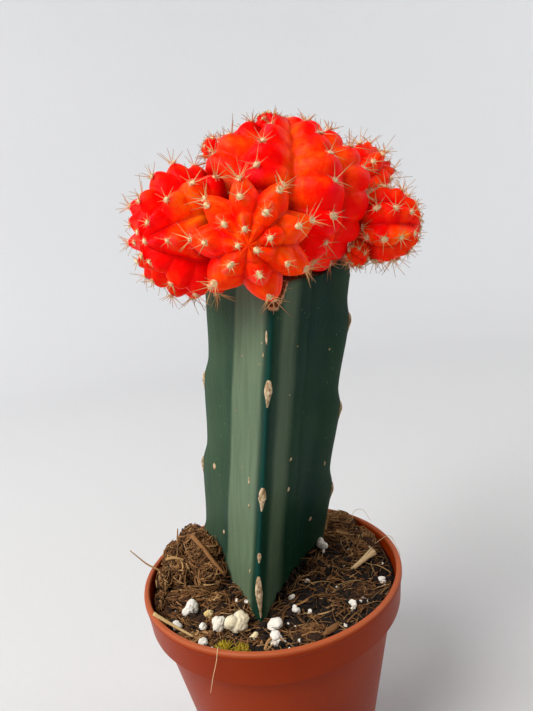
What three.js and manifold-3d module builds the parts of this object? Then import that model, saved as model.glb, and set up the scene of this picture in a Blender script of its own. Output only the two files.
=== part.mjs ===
// Potted moon cactus: a red, ribbed scion with its offsets, grafted on a green
// three-ribbed rootstock, standing in a small nursery pot.
// Units are millimetres, +Z is up, and the origin is the centre of the pot's standing face.
// The viewer stands on the -Y side, with +X to the right.

import * as THREE from 'three';
import { mergeVertices } from 'three/addons/utils/BufferGeometryUtils.js';
import Module from 'manifold-3d';

const wasm = await Module();
wasm.setup();

// ---------------------------------------------------------------- driving dimensions

const GAP = 0.3; // left between pieces that touch

// Pot: the rim is a wide band that overhangs the tapering wall.
const POT_HEIGHT = 50;
const RIM_RADIUS = 27.5;
const BAND_HEIGHT = 6.7;
const BAND_FOOT_RADIUS = 26.8;
const WALL_TOP_RADIUS = 25.15;
const WALL_FOOT_RADIUS = 16.1;
const WALL = 0.9;
const FLOOR_UNDERSIDE = 1.2;
const FLOOR_TOP = 2.2;
const PAD_RADIUS = 6; // flat pad in the middle of the base
const FOOT_RING_INNER = 14.8;
const DRAIN_HOLES = 6;
const DRAIN_RADIUS = 2.3;
const DRAIN_CIRCLE = 10.6;
const SHOULDER = POT_HEIGHT - BAND_HEIGHT;

// Soil: it rises from the front to the back of the pot.
const SOIL_FRONT = 46.4;
const SOIL_RISE = 2.2;
const SOIL_LUMP = 0.3;

// Rootstock: it leans in the pot, and has three thin ribs.
const STEM_FOOT = new THREE.Vector3(-2.65, 4.2, 46); // where its axis meets the soil
const STEM_AXIS = new THREE.Vector3(0.164, -0.11, 1).normalize();
const STEM_BURIED = 22;
const GRAFT_HEIGHT = 67.8; // along the axis, from the soil
const CORE_RADIUS = 6.6;
const RIB_TIP_RADIUS = 17;
const RIB_TIP_GROWTH = 0.7; // what the tips gain from the soil to the graft
const RIB_HALF_WIDTH = 12.5; // degrees, where a rib has half its height
const TOOTH_DEPTH = 1; // the rib edge drops back above each areole
// Each rib: its azimuth, its lowest areole and their pitch, and how its end is pared off.
const STEM_RIBS = [
  { azimuth: 263, areole: 9.8, pitch: 20, bevelHeight: 4.4, bevelDepth: 4.6 },
  { azimuth: 143, areole: 2.5, pitch: 20, bevelHeight: 3, bevelDepth: 2.5 },
  { azimuth: 23, areole: 18.5, pitch: 19.3, bevelHeight: 2.4, bevelDepth: 2 },
];

// Scion: the centre is on the stem's axis. Places are azimuth, elevation and reach
// from that centre, in the stem's own frame, in degrees and millimetres.
const HEAD_HEIGHT = 81;
const HEAD_RADIUS = 15.2;
const HEAD_FLATNESS = 0.88;
const RIBS = 8;
const RIB_PHASE = 23.75;
const RIB_DEPTH = 0.2;
const OFFSETS = [
  { name: 'offset_left', at: [195, -21, 18.2], faces: [219, -7], radius: 11.2 },
  { name: 'offset_front', at: [251, -19.3, 19.2], faces: [263, 0], radius: 9.3 },
  { name: 'offset_right', at: [0, -11, 19.9], faces: [347, 4], radius: 6.9 },
  { name: 'offset_upper_right', at: [30, 15.5, 19.9], faces: [32, 36], radius: 6 },
  { name: 'offset_low_right', at: [347, -32, 17.2], faces: [342, -29], radius: 2.4 },
  { name: 'offset_back_left', at: [140, -19, 19], faces: [135, -8], radius: 8 },
  { name: 'offset_back_right', at: [70, -21, 17.6], faces: [71, -9], radius: 7 },
];
const BUDS = [
  { name: 'bud_top', at: [222, 69, 13.3], faces: [222, 69], radius: 2 },
  { name: 'bud_left', at: [173, 32, 15.4], faces: [173, 32], radius: 2 },
];

// Spine clusters: a woolly cushion with its spines, on the shoulders of the larger bodies.
const SPINES_PER_CLUSTER = 5;
const SPINE_LENGTH = 3.8;
const SPINE_RADIUS = 0.2;
const CUSHION_RADIUS = 0.8;
const SPINE_SPREAD = 48; // degrees between a spine and the outward direction
const SCION_SPINE_LATITUDE = 40;
const OFFSET_SPINE_LATITUDE = 50;

// The clump of coir behind the stem: its place and half sizes.
const COIR_CLUMP = { x: -15.2, y: 5.5, half: new THREE.Vector3(5.2, 6.5, 6) };

// Loose pieces on the soil, by place and diameter.
const PERLITE = [
  [-17.6, -8.3, 3.1], [-13.7, -9.9, 2.2], [-20, -12.5, 2.5], [-14.5, -13.7, 2],
  [-11.4, -14.3, 2.8], [-7.9, -16, 4.4], [-14.3, -18, 2.2], [-4.9, -18.9, 2],
  [-1.2, -16.3, 3.1], [-0.8, -20.3, 2.6], [3.3, -12.9, 2.1], [11.8, 7.1, 3],
  [14.8, -13.5, 1.8], [22.2, -6.9, 1.9], [-23.4, 1.6, 1.7], [-20.9, 7, 1.8],
];
const MOSS = [[-10.5, -20.6, 2.8], [-7.2, -22, 2.6]];
const STRAW_RADIUS = 0.3;
const FIBRE_RADIUS = 0.25;

// ---------------------------------------------------------------- materials

function finish(color, roughness) {
  return new THREE.MeshStandardMaterial({ color, roughness, metalness: 0 });
}

const potPlastic = finish(0xb4482c, 0.35);
const peat = finish(0x3a2a20, 0.95);
const coirFibre = finish(0x7a5636, 0.95);
const stemSkin = finish(0x1f3a26, 0.5);
const redFlesh = finish(0xe01408, 0.45);
const perliteWhite = finish(0xe9e6da, 0.9);
const mossGreen = finish(0xa5a83e, 0.9);
const dryWood = finish(0xc9a878, 0.8);
const spineStraw = finish(0xc08a4a, 0.6);

// ---------------------------------------------------------------- solids

// A closed three.js geometry as a solid, turned right side out.
function toSolid(geometry) {
  const bare = geometry.index ? geometry.toNonIndexed() : geometry.clone();
  bare.deleteAttribute('normal');
  bare.deleteAttribute('uv');
  const merged = mergeVertices(bare, 1e-4);
  const vertices = merged.attributes.position;
  const corners = merged.index.array;
  const triangles = [];
  let volume = 0;
  const [a, b, c] = [new THREE.Vector3(), new THREE.Vector3(), new THREE.Vector3()];
  for (let i = 0; i < corners.length; i += 3) {
    const [p, q, r] = [corners[i], corners[i + 1], corners[i + 2]];
    if (p === q || q === r || r === p) continue;
    triangles.push(p, q, r);
    a.fromBufferAttribute(vertices, p);
    b.fromBufferAttribute(vertices, q);
    c.fromBufferAttribute(vertices, r);
    volume += a.dot(b.cross(c));
  }
  if (volume < 0) triangles.reverse();
  return new wasm.Manifold(new wasm.Mesh({
    numProp: 3,
    vertProperties: Float32Array.from(vertices.array),
    triVerts: Uint32Array.from(triangles),
  }));
}

function toMesh(name, solid, material) {
  const { vertProperties, triVerts } = solid.getMesh();
  const geometry = new THREE.BufferGeometry();
  geometry.setAttribute('position', new THREE.BufferAttribute(vertProperties, 3));
  geometry.setIndex(new THREE.BufferAttribute(triVerts, 1));
  geometry.computeVertexNormals();
  const mesh = new THREE.Mesh(geometry, material);
  mesh.name = name;
  return mesh;
}

// Cutting can leave crumbs: the largest piece is the one that is kept.
function largest(solid) {
  const pieces = solid.decompose();
  return pieces.reduce((best, piece) => (piece.volume() > best.volume() ? piece : best));
}

// Every vertex goes through a function that moves it.
function reshape(geometry, move) {
  const positions = geometry.attributes.position;
  const point = new THREE.Vector3();
  for (let i = 0; i < positions.count; i += 1) {
    move(point.fromBufferAttribute(positions, i));
    positions.setXYZ(i, point.x, point.y, point.z);
  }
  return geometry;
}

// Lathe profiles are written as radius and height, and turn about Z.
function lathe(profile, segments) {
  const points = profile.map(([radius, height]) => new THREE.Vector2(radius, height));
  return new THREE.LatheGeometry(points, segments).rotateX(Math.PI / 2);
}

function wallRadius(height) {
  const taper = (WALL_TOP_RADIUS - WALL_FOOT_RADIUS) / SHOULDER;
  return WALL_FOOT_RADIUS + taper * height;
}

function direction(azimuth, elevation) {
  const polar = THREE.MathUtils.degToRad(90 - elevation);
  const turn = THREE.MathUtils.degToRad(azimuth);
  return new THREE.Vector3(
    Math.sin(polar) * Math.cos(turn),
    Math.sin(polar) * Math.sin(turn),
    Math.cos(polar),
  );
}

// Moves a geometry to a place, with its +Z along the given direction.
function placed(geometry, position, axis = new THREE.Vector3(0, 0, 1)) {
  const turn = new THREE.Quaternion().setFromUnitVectors(new THREE.Vector3(0, 0, 1), axis);
  return geometry.applyQuaternion(turn).translate(position.x, position.y, position.z);
}

function union(solids) {
  return solids.reduce((whole, solid) => whole.add(solid));
}

// ---------------------------------------------------------------- pot

function makePot() {
  const ledge = SHOULDER + WALL;
  const ledgeRadius = wallRadius(SHOULDER) - WALL;
  let pot = toSolid(lathe([
    [0, 0],
    [PAD_RADIUS, 0],
    [PAD_RADIUS + 0.4, FLOOR_UNDERSIDE],
    [FOOT_RING_INNER - 0.3, FLOOR_UNDERSIDE],
    [FOOT_RING_INNER, 0],
    [WALL_FOOT_RADIUS - 0.3, 0],
    [wallRadius(0.4), 0.4],
    [WALL_TOP_RADIUS, SHOULDER],
    [BAND_FOOT_RADIUS, SHOULDER],
    [RIM_RADIUS - 0.2, POT_HEIGHT - 1.2],
    [RIM_RADIUS, POT_HEIGHT - 0.5],
    [RIM_RADIUS - 0.3, POT_HEIGHT],
    [RIM_RADIUS - WALL - 0.2, POT_HEIGHT],
    [BAND_FOOT_RADIUS - WALL, ledge],
    [ledgeRadius, ledge],
    [ledgeRadius, SHOULDER],
    [wallRadius(FLOOR_TOP) - WALL, FLOOR_TOP],
    [0, FLOOR_TOP],
  ], 48));
  for (let hole = 0; hole < DRAIN_HOLES; hole += 1) {
    const centre = direction((hole * 360) / DRAIN_HOLES, 0).multiplyScalar(DRAIN_CIRCLE);
    const drill = new THREE.CylinderGeometry(DRAIN_RADIUS, DRAIN_RADIUS, 6, 12);
    pot = pot.subtract(toSolid(placed(drill.rotateX(Math.PI / 2), centre)));
  }
  return pot;
}

// ---------------------------------------------------------------- rootstock

// How far a rib's edge reaches out at a height along the stem. The edge drops back
// just above each areole, and slopes out again to the next. The foot in the soil tapers.
function ribTip(rib, height) {
  const steps = (height - rib.areole) / rib.pitch;
  const phase = steps - Math.floor(steps);
  const notch = phase < 0.25 ? phase / 0.25 : (1 - phase) / 0.75;
  const intoBevel = Math.max(0, (height - GRAFT_HEIGHT) / rib.bevelHeight + 1);
  const intoSoil = Math.max(0, -height) / STEM_BURIED;
  const growth = RIB_TIP_GROWTH * (height / GRAFT_HEIGHT);
  const whole = RIB_TIP_RADIUS + growth - TOOTH_DEPTH * notch - rib.bevelDepth * intoBevel;
  return THREE.MathUtils.lerp(whole, CORE_RADIUS, intoSoil);
}

// The section of the stem: a round core and three thin ribs.
function stemRadius(azimuth, height) {
  let radius = CORE_RADIUS;
  for (const rib of STEM_RIBS) {
    const turn = THREE.MathUtils.euclideanModulo(azimuth - rib.azimuth + 180, 360) - 180;
    const fall = 1 + (turn / RIB_HALF_WIDTH) ** 2;
    radius = Math.max(radius, CORE_RADIUS + (ribTip(rib, height) - CORE_RADIUS) / fall);
  }
  return radius;
}

// The stem stands on its own axis, with height 0 at the soil. Its columns of vertices
// crowd towards the ribs, where the section is sharpest.
function makeStem(grow) {
  const crowding = 0.75;
  const length = GRAFT_HEIGHT + STEM_BURIED - GAP;
  const tube = new THREE.CylinderGeometry(1, 1, 1, 30, 20).rotateX(Math.PI / 2);
  return toSolid(reshape(tube, (point) => {
    const reach = Math.hypot(point.x, point.y);
    const even = Math.atan2(point.y, point.x);
    const turn = THREE.MathUtils.degToRad(STEM_RIBS[0].azimuth)
      + even - (crowding * Math.sin(3 * even)) / 3;
    const height = (point.z + 0.5) * length - STEM_BURIED;
    const radius = reach * (stemRadius(THREE.MathUtils.radToDeg(turn), height) + grow);
    point.set(radius * Math.cos(turn), radius * Math.sin(turn), height + 2 * grow * point.z);
  }));
}

// ---------------------------------------------------------------- scion and offsets

// A ribbed globe with its poles on Z, set at a place and turned to face a direction.
// Its columns start on a crest, so that crests and valleys both fall on vertices.
function makeGlobe({ radius, columns, rows, grow, centre, axis, floor = -Infinity }) {
  const phase = THREE.MathUtils.degToRad(RIB_PHASE);
  const globe = new THREE.SphereGeometry(1, columns, rows).rotateX(Math.PI / 2).rotateZ(phase);
  const shaped = reshape(globe, (point) => {
    const turn = Math.atan2(point.y, point.x) - phase;
    const crest = Math.abs(Math.cos((RIBS * turn) / 2)) ** 0.8;
    const girth = Math.hypot(point.x, point.y);
    const reach = radius * (1 - RIB_DEPTH * girth * (1 - crest)) + grow;
    const height = point.z * (radius * HEAD_FLATNESS + grow);
    point.set(point.x * reach, point.y * reach, Math.max(height, floor - grow));
  });
  return toSolid(placed(shaped, centre, axis));
}

function makeScion(grow) {
  return makeGlobe({
    radius: HEAD_RADIUS,
    columns: 48,
    rows: 14,
    grow,
    centre: new THREE.Vector3(),
    axis: direction(0, 90),
    floor: GRAFT_HEIGHT - HEAD_HEIGHT,
  });
}

function makeOffset({ at: [azimuth, elevation, reach], faces, radius }, grow) {
  return makeGlobe({
    radius,
    columns: radius > 5 ? 24 : 16,
    rows: radius > 5 ? 10 : 6,
    grow,
    centre: direction(azimuth, elevation).multiplyScalar(reach),
    axis: direction(...faces),
  });
}

// ---------------------------------------------------------------- spine clusters

// A cushion of wool with its spines, at the origin, pointing along +Z.
function clusterGeometries() {
  const cushion = new THREE.IcosahedronGeometry(CUSHION_RADIUS, 0).scale(1, 1, 0.6);
  const tilt = THREE.MathUtils.degToRad(SPINE_SPREAD);
  const parts = [cushion];
  for (let spine = 0; spine < SPINES_PER_CLUSTER; spine += 1) {
    const cone = new THREE.ConeGeometry(SPINE_RADIUS, SPINE_LENGTH, 4);
    cone.translate(0, SPINE_LENGTH / 2, 0).rotateX(Math.PI / 2).rotateY(tilt);
    parts.push(cone.rotateZ((spine * 2 * Math.PI) / SPINES_PER_CLUSTER));
  }
  return parts;
}

// The place of a cluster: on the crest of one rib, at a height up the globe.
function clusterSeat(rib, latitude, radius, centre, axis) {
  const turn = RIB_PHASE + (rib * 360) / RIBS;
  const outward = direction(turn, latitude);
  const lift = GAP + CUSHION_RADIUS * 0.6;
  const seat = outward.clone().multiply(new THREE.Vector3(radius, radius, radius * HEAD_FLATNESS));
  const frame = new THREE.Quaternion().setFromUnitVectors(new THREE.Vector3(0, 0, 1), axis);
  seat.addScaledVector(outward, lift).applyQuaternion(frame).add(centre);
  return { seat, outward: outward.applyQuaternion(frame) };
}

function makeCluster({ seat, outward }, keepClear) {
  const parts = clusterGeometries().map((part) => toSolid(placed(part, seat, outward)));
  return largest(union(parts).subtract(keepClear));
}

// ---------------------------------------------------------------- soil and what lies on it

function soilHeight(x, y) {
  const rise = THREE.MathUtils.smoothstep(y, -8, 16) * SOIL_RISE;
  const lumps = Math.sin(0.55 * x + 1) * Math.cos(0.48 * y - 0.5);
  return SOIL_FRONT + rise + SOIL_LUMP * lumps;
}

// The soil fills the pot from just above its floor, and widens above the ledge.
function makeSoil(lift) {
  const floor = FLOOR_TOP + GAP;
  const ledge = SHOULDER + WALL + GAP;
  const body = wallRadius(SHOULDER) - WALL - GAP;
  const top = BAND_FOOT_RADIUS - WALL - GAP;
  const rings = [top, 22.5, 19.5, 16, 12, 8, 4, 0].map((radius) => [radius, SOIL_FRONT]);
  const profile = [[0, floor], [wallRadius(floor) - WALL - GAP, floor], [body, SHOULDER]];
  profile.push([body, ledge], [top, ledge], ...rings);
  return toSolid(reshape(lathe(profile, 32), (point) => {
    if (point.z > SOIL_FRONT - 0.1) point.z = soilHeight(point.x, point.y) + lift;
  }));
}

function onSoil(x, y, lift) {
  return new THREE.Vector3(x, y, soilHeight(x, y) + lift);
}

// A grain is a lumpy ball, sunk a little and cut off where it meets the soil.
function makeGrain([x, y, size], flatness) {
  const ball = new THREE.IcosahedronGeometry(size / 2, size > 2.5 ? 1 : 0);
  const lumpy = reshape(ball, (point) => {
    const lump = 1 + 0.12 * Math.sin(5 * point.x + 3 * x) * Math.cos(4 * point.y + y);
    point.multiplyScalar(lump).setZ(point.z * flatness);
  });
  return toSolid(placed(lumpy, onSoil(x, y, size * 0.2 * flatness)));
}

function makeCoirClump() {
  const ball = new THREE.IcosahedronGeometry(1, 2);
  return toSolid(placed(reshape(ball, (point) => {
    const lump = 1 + 0.1 * Math.sin(4 * point.x + 1) * Math.cos(5 * point.y) + 0.06 * Math.sin(7 * point.z);
    point.multiplyScalar(lump).multiply(COIR_CLUMP.half);
  }), onSoil(COIR_CLUMP.x, COIR_CLUMP.y, 0.8)));
}

// A straw, hair or fibre: a thin tube along a curve through its points.
function makeStraw(points, radius) {
  const path = new THREE.CatmullRomCurve3(points);
  const section = new THREE.Shape().absarc(0, 0, radius, 0, 2 * Math.PI);
  const steps = { steps: 4 * (points.length - 1), curveSegments: 3, bevelEnabled: false };
  return toSolid(new THREE.ExtrudeGeometry(section, { ...steps, extrudePath: path }));
}

// A short twig with a knob at its far end.
function makeStick() {
  const start = onSoil(17.3, -2.6, 1.3);
  const end = onSoil(22.4, 0.4, 1.9);
  const length = start.distanceTo(end);
  const along = end.clone().sub(start).normalize();
  const shaft = new THREE.CylinderGeometry(0.8, 0.65, length, 8, 2).rotateX(Math.PI / 2);
  const knob = new THREE.IcosahedronGeometry(1.25, 1).scale(1, 1, 0.8);
  const middle = start.clone().add(end).multiplyScalar(0.5);
  return toSolid(placed(shaft, middle, along)).add(toSolid(placed(knob, end, along)));
}

function makeBarkChip() {
  const chip = new THREE.BoxGeometry(4.2, 1.6, 1.1, 4, 2, 1);
  return toSolid(placed(reshape(chip, (point) => {
    point.y *= 1 - 0.09 * point.x;
    point.z += 0.05 * point.x * point.x;
  }).rotateZ(0.6), onSoil(9.5, -20, 0.9)));
}

// ---------------------------------------------------------------- assembly

const potted = new THREE.Group();
potted.add(toMesh('pot', makePot(), potPlastic));

// The plant's own frame: origin where the stem's axis meets the soil, +Z up the stem.
const plant = new THREE.Group();
plant.position.copy(STEM_FOOT);
plant.quaternion.setFromUnitVectors(new THREE.Vector3(0, 0, 1), STEM_AXIS);
potted.add(plant);
plant.add(toMesh('rootstock_stem', makeStem(0), stemSkin));

// The head's frame is the plant's, moved up the stem to the middle of the scion.
const head = new THREE.Group();
head.position.z = HEAD_HEIGHT;
plant.add(head);
head.add(toMesh('scion_body', makeScion(0), redFlesh));

// Each offset is cut back by the scion, the stem and the offsets before it.
let keepClear = makeScion(GAP).add(makeStem(GAP).translate([0, 0, -HEAD_HEIGHT]));
for (const offset of OFFSETS) {
  const solid = largest(makeOffset(offset, 0).subtract(keepClear));
  head.add(toMesh(offset.name, solid, redFlesh));
  keepClear = keepClear.add(makeOffset(offset, GAP));
}
for (const bud of BUDS) {
  head.add(toMesh(bud.name, largest(makeOffset(bud, 0).subtract(keepClear)), redFlesh));
  keepClear = keepClear.add(makeOffset(bud, GAP));
}

const seats = [];
for (let rib = 0; rib < RIBS; rib += 1) {
  seats.push(clusterSeat(rib, SCION_SPINE_LATITUDE, HEAD_RADIUS, new THREE.Vector3(), direction(0, 90)));
}
for (const { at: [azimuth, elevation, reach], faces, radius } of OFFSETS.slice(0, 2)) {
  const centre = direction(azimuth, elevation).multiplyScalar(reach);
  for (let rib = 0; rib < RIBS; rib += 2) {
    seats.push(clusterSeat(rib, OFFSET_SPINE_LATITUDE, radius, centre, direction(...faces)));
  }
}
seats.forEach((seat, index) => {
  const name = `spine_cluster_${String(index + 1).padStart(2, '0')}`;
  head.add(toMesh(name, makeCluster(seat, keepClear), spineStraw));
});

// The stem in the pot's frame, grown by the gap, clears its own pocket in the soil.
plant.updateMatrix();
const stemInPot = makeStem(GAP).transform(plant.matrix.toArray());
const ground = makeSoil(GAP).add(stemInPot);
potted.add(toMesh('soil', makeSoil(0).subtract(stemInPot), peat));
const coirClump = largest(makeCoirClump().subtract(ground));
potted.add(toMesh('coir_clump', coirClump, coirFibre));

PERLITE.forEach((grain, index) => {
  const name = `perlite_${String(index + 1).padStart(2, '0')}`;
  potted.add(toMesh(name, largest(makeGrain(grain, 0.85).subtract(ground)), perliteWhite));
});
MOSS.forEach((tuft, index) => {
  const solid = largest(makeGrain(tuft, 0.7).subtract(ground));
  potted.add(toMesh(`moss_tuft_${index + 1}`, solid, mossGreen));
});

potted.add(toMesh('wood_stick', makeStick(), dryWood));
potted.add(toMesh('bark_chip', makeBarkChip(), coirFibre));
potted.add(toMesh('straw_over_rim', makeStraw([
  new THREE.Vector3(-23.4, -14.6, POT_HEIGHT + 2.1),
  new THREE.Vector3(-20, -15.4, 49.6),
  onSoil(-16.3, -16.6, 0.9),
], STRAW_RADIUS), spineStraw));
potted.add(toMesh('straw_on_soil', makeStraw([
  onSoil(-18, -18.3, 0.8),
  onSoil(-16.4, -18.9, 1.3),
  onSoil(-15, -20.2, 0.8),
], STRAW_RADIUS), spineStraw));
potted.add(toMesh('fibre_over_rim', makeStraw([
  onSoil(-22.4, 2.4, 0.8),
  new THREE.Vector3(-25, 3.2, POT_HEIGHT + 0.5),
  new THREE.Vector3(-27.6, 4.2, POT_HEIGHT + 1.8),
  new THREE.Vector3(-31, 5.5, POT_HEIGHT + 4.8),
], FIBRE_RADIUS), coirFibre));

export default potted;
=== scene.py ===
# %% [markdown]
# # A potted moon cactus
#
# A moon cactus is two plants in one. The red globe on top has no chlorophyll, so it can't feed itself. It is
# grafted on a green, three-ribbed stem that feeds both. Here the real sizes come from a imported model, the
# frame, and Blender makes the fine shape and the finish of each piece around it.

# %% Load the frame
import math

import bpy
import numpy as np
from mathutils import Matrix, Vector, noise


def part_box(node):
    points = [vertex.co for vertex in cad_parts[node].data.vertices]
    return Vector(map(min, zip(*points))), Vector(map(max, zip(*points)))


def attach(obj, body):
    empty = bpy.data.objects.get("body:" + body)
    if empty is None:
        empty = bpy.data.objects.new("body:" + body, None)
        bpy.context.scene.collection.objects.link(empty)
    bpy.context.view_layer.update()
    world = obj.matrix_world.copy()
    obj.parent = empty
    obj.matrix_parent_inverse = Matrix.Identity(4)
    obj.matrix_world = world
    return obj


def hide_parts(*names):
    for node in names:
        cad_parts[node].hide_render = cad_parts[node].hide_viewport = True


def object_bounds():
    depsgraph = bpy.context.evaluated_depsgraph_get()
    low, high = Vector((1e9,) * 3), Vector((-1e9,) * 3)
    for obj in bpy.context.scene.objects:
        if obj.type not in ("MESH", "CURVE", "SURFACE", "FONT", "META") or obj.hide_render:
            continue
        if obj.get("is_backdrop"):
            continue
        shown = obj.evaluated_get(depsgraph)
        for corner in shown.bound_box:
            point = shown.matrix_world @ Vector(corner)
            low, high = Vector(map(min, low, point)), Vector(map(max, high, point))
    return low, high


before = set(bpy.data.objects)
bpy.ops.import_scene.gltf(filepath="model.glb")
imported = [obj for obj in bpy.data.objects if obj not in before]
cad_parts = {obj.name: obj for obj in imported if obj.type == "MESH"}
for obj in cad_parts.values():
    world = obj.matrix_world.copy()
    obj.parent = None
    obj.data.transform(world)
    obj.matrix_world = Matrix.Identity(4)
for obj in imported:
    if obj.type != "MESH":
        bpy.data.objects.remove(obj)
cad_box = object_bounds()
MM = 0.001
print("nodes in the frame:", len(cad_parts))

# %% [markdown]
# ## The camera
#
# A small object is looked at from close by, with a wide lens, as with a phone. The camera stands just above
# the scion and looks down a little, and it is rolled a few degrees, so the pot's axis tilts in the picture.

# %% Camera
CAMERA_PLACE = (0, -111.1 * MM, 117 * MM)
LENS = 28.35
PITCH_DOWN = 10.76
YAW_RIGHT = 2.18
ROLL = -6.82

camera = bpy.data.objects.new("camera", bpy.data.cameras.new("camera"))
bpy.context.scene.collection.objects.link(camera)
bpy.context.scene.camera = camera
camera.data.lens = LENS
camera.data.clip_start = 5 * MM
turn = Matrix.Rotation(math.radians(-YAW_RIGHT), 4, "Z")
turn = turn @ Matrix.Rotation(math.radians(90 - PITCH_DOWN), 4, "X")
turn = turn @ Matrix.Rotation(math.radians(ROLL), 4, "Z")
camera.matrix_world = Matrix.Translation(CAMERA_PLACE) @ turn
print("camera looks along", [round(v, 3) for v in (turn @ Vector((0, 0, -1)))])

# %% [markdown]
# ## Small tools
#
# A few helpers do what every piece needs: start clean, take a new primitive, read and write its vertices,
# and hand the finished piece to the frame. Everything is deselected before a primitive is added, because an
# operator acts on all that is selected.


# %% Start and finish a piece
def start_clean():
    """Leaves edit mode and deselects everything."""
    if bpy.context.object and bpy.context.object.mode != "OBJECT":
        bpy.ops.object.mode_set(mode="OBJECT")
    bpy.ops.object.select_all(action="DESELECT")


def choose(piece):
    """Makes one piece the one that the next operator acts on."""
    start_clean()
    piece.select_set(True)
    bpy.context.view_layer.objects.active = piece


def new_piece(name, add, **settings):
    """Adds a primitive with one of Blender's own operators and names it."""
    start_clean()
    add(**settings)
    piece = bpy.context.object
    piece.name = name
    piece.data.name = name
    bpy.ops.object.transform_apply(location=True, rotation=True, scale=True)
    return piece


def points_of(piece):
    """The vertices of a piece, one row each."""
    flat = np.empty(len(piece.data.vertices) * 3)
    piece.data.vertices.foreach_get("co", flat)
    return flat.reshape(-1, 3)


def set_points(piece, points):
    """Moves the vertices of a piece."""
    piece.data.vertices.foreach_set("co", np.asarray(points, dtype=float).ravel())
    piece.data.update()


def set_attribute(piece, name, values):
    """Keeps one number for each vertex, for a material to read."""
    layer = piece.data.attributes.new(name, "FLOAT", "POINT")
    layer.data.foreach_set("value", np.asarray(values, dtype=float).ravel())


def smooth(piece):
    """Shades every face smooth."""
    piece.data.polygons.foreach_set("use_smooth", [True] * len(piece.data.polygons))


def in_mm(box):
    """The two corners of a box, in millimetres."""
    return [np.array(corner) / MM for corner in box]


def hand_over(piece, material, slot, *nodes):
    """Gives a finished piece its material, its body and the nodes that it stands for."""
    piece.data.materials.clear()
    piece.data.materials.append(material)
    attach(piece, "root")
    if nodes:
        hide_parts(*nodes)


# %% [markdown]
# Noise makes things look grown. Each point gets a smooth random number that changes over a given distance,
# and the number is the same on every run.


# %% Smooth noise on points
def wander(points, size, shift=0.0):
    """Smooth noise from about -1 to 1 at each point. Lumps are about `size` across."""
    offset = Vector((shift, 1.7 * shift, -shift))
    return np.array([noise.noise(Vector(p) / size + offset) for p in points])


# %% [markdown]
# Some pieces are made of thousands of small parts. Operators would be far too slow for them, so their
# vertices and faces are worked out together and written into one mesh.


# %% Pieces from vertices and faces
def mesh_piece(name, points, faces):
    """A smooth piece from vertices in metres and faces."""
    mesh = bpy.data.meshes.new(name)
    mesh.from_pydata(points.tolist(), [], faces)
    piece = bpy.data.objects.new(name, mesh)
    bpy.context.scene.collection.objects.link(piece)
    smooth(piece)
    return piece


def template(add, **settings):
    """The vertices and faces of a primitive, to be copied many times into one mesh."""
    pattern = new_piece("pattern", add, **settings)
    points = points_of(pattern)
    faces = [tuple(face.vertices) for face in pattern.data.polygons]
    bpy.data.objects.remove(pattern)
    return points, faces


def copied_faces(faces, copies, size):
    """The faces of all copies of a pattern that has `size` vertices."""
    return [tuple(index * size + v for v in face) for index in range(copies) for face in faces]


# %% [markdown]
# Spines, wool, fibres and straws are all thin strands. One function lofts a tapering tube along each path. It
# also stores how far along its strand each vertex is, and one tint for each strand, for the materials.


# %% Strands
NEARLY_NOTHING = 1e-12
UPRIGHT_SHARE = 0.8


def strand_mesh(name, paths, root, tip, sides, tints):
    """Tapering closed tubes along paths, an array of strand, point and coordinate, in metres."""
    paths = np.asarray(paths, dtype=float)
    count, steps, _ = paths.shape
    root = np.broadcast_to(np.asarray(root, dtype=float), (count,))
    tip = np.broadcast_to(np.asarray(tip, dtype=float), (count,))
    tints = np.asarray(tints, dtype=float)
    along = np.gradient(paths, axis=1)
    along /= np.linalg.norm(along, axis=2, keepdims=True) + NEARLY_NOTHING
    chord = paths[:, -1] - paths[:, 0]
    lies_down = np.abs(chord[:, 2:]) < UPRIGHT_SHARE * np.linalg.norm(chord, axis=1)[:, None]
    helper = np.where(lies_down, [[0.0, 0.0, 1.0]], [[1.0, 0.0, 0.0]])
    side = np.cross(along, helper[:, None, :])
    side /= np.linalg.norm(side, axis=2, keepdims=True) + NEARLY_NOTHING
    up = np.cross(side, along)
    share = np.linspace(0, 1, steps)
    radius = root[:, None] + (tip - root)[:, None] * share[None, :]
    angles = np.linspace(0, 2 * math.pi, sides, endpoint=False)
    ring = (np.cos(angles)[None, None, :, None] * side[:, :, None, :]
            + np.sin(angles)[None, None, :, None] * up[:, :, None, :])
    points = paths[:, :, None, :] + radius[:, :, None, None] * ring
    faces = []
    for strand in range(count):
        start = strand * steps * sides
        for step in range(steps - 1):
            low = start + step * sides
            for k in range(sides):
                after = (k + 1) % sides
                faces.append((low + k, low + sides + k, low + sides + after, low + after))
        last = start + (steps - 1) * sides
        faces.append(tuple(range(start, start + sides)))
        faces.append(tuple(range(last + sides - 1, last - 1, -1)))
    piece = mesh_piece(name, points.reshape(-1, 3), faces)
    set_attribute(piece, "along", np.broadcast_to(share[None, :, None], (count, steps, sides)))
    set_attribute(piece, "tint", np.broadcast_to(tints[:, None, None], (count, steps, sides)))
    return piece


# %% [markdown]
# Crumbs of peat, wool cushions and perlite are all small lumps. One ball is modelled with an operator,
# and its copies are turned, stretched and dented one by one, then kept in one mesh.


# %% Lumps
DENTS = 1.6


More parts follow.
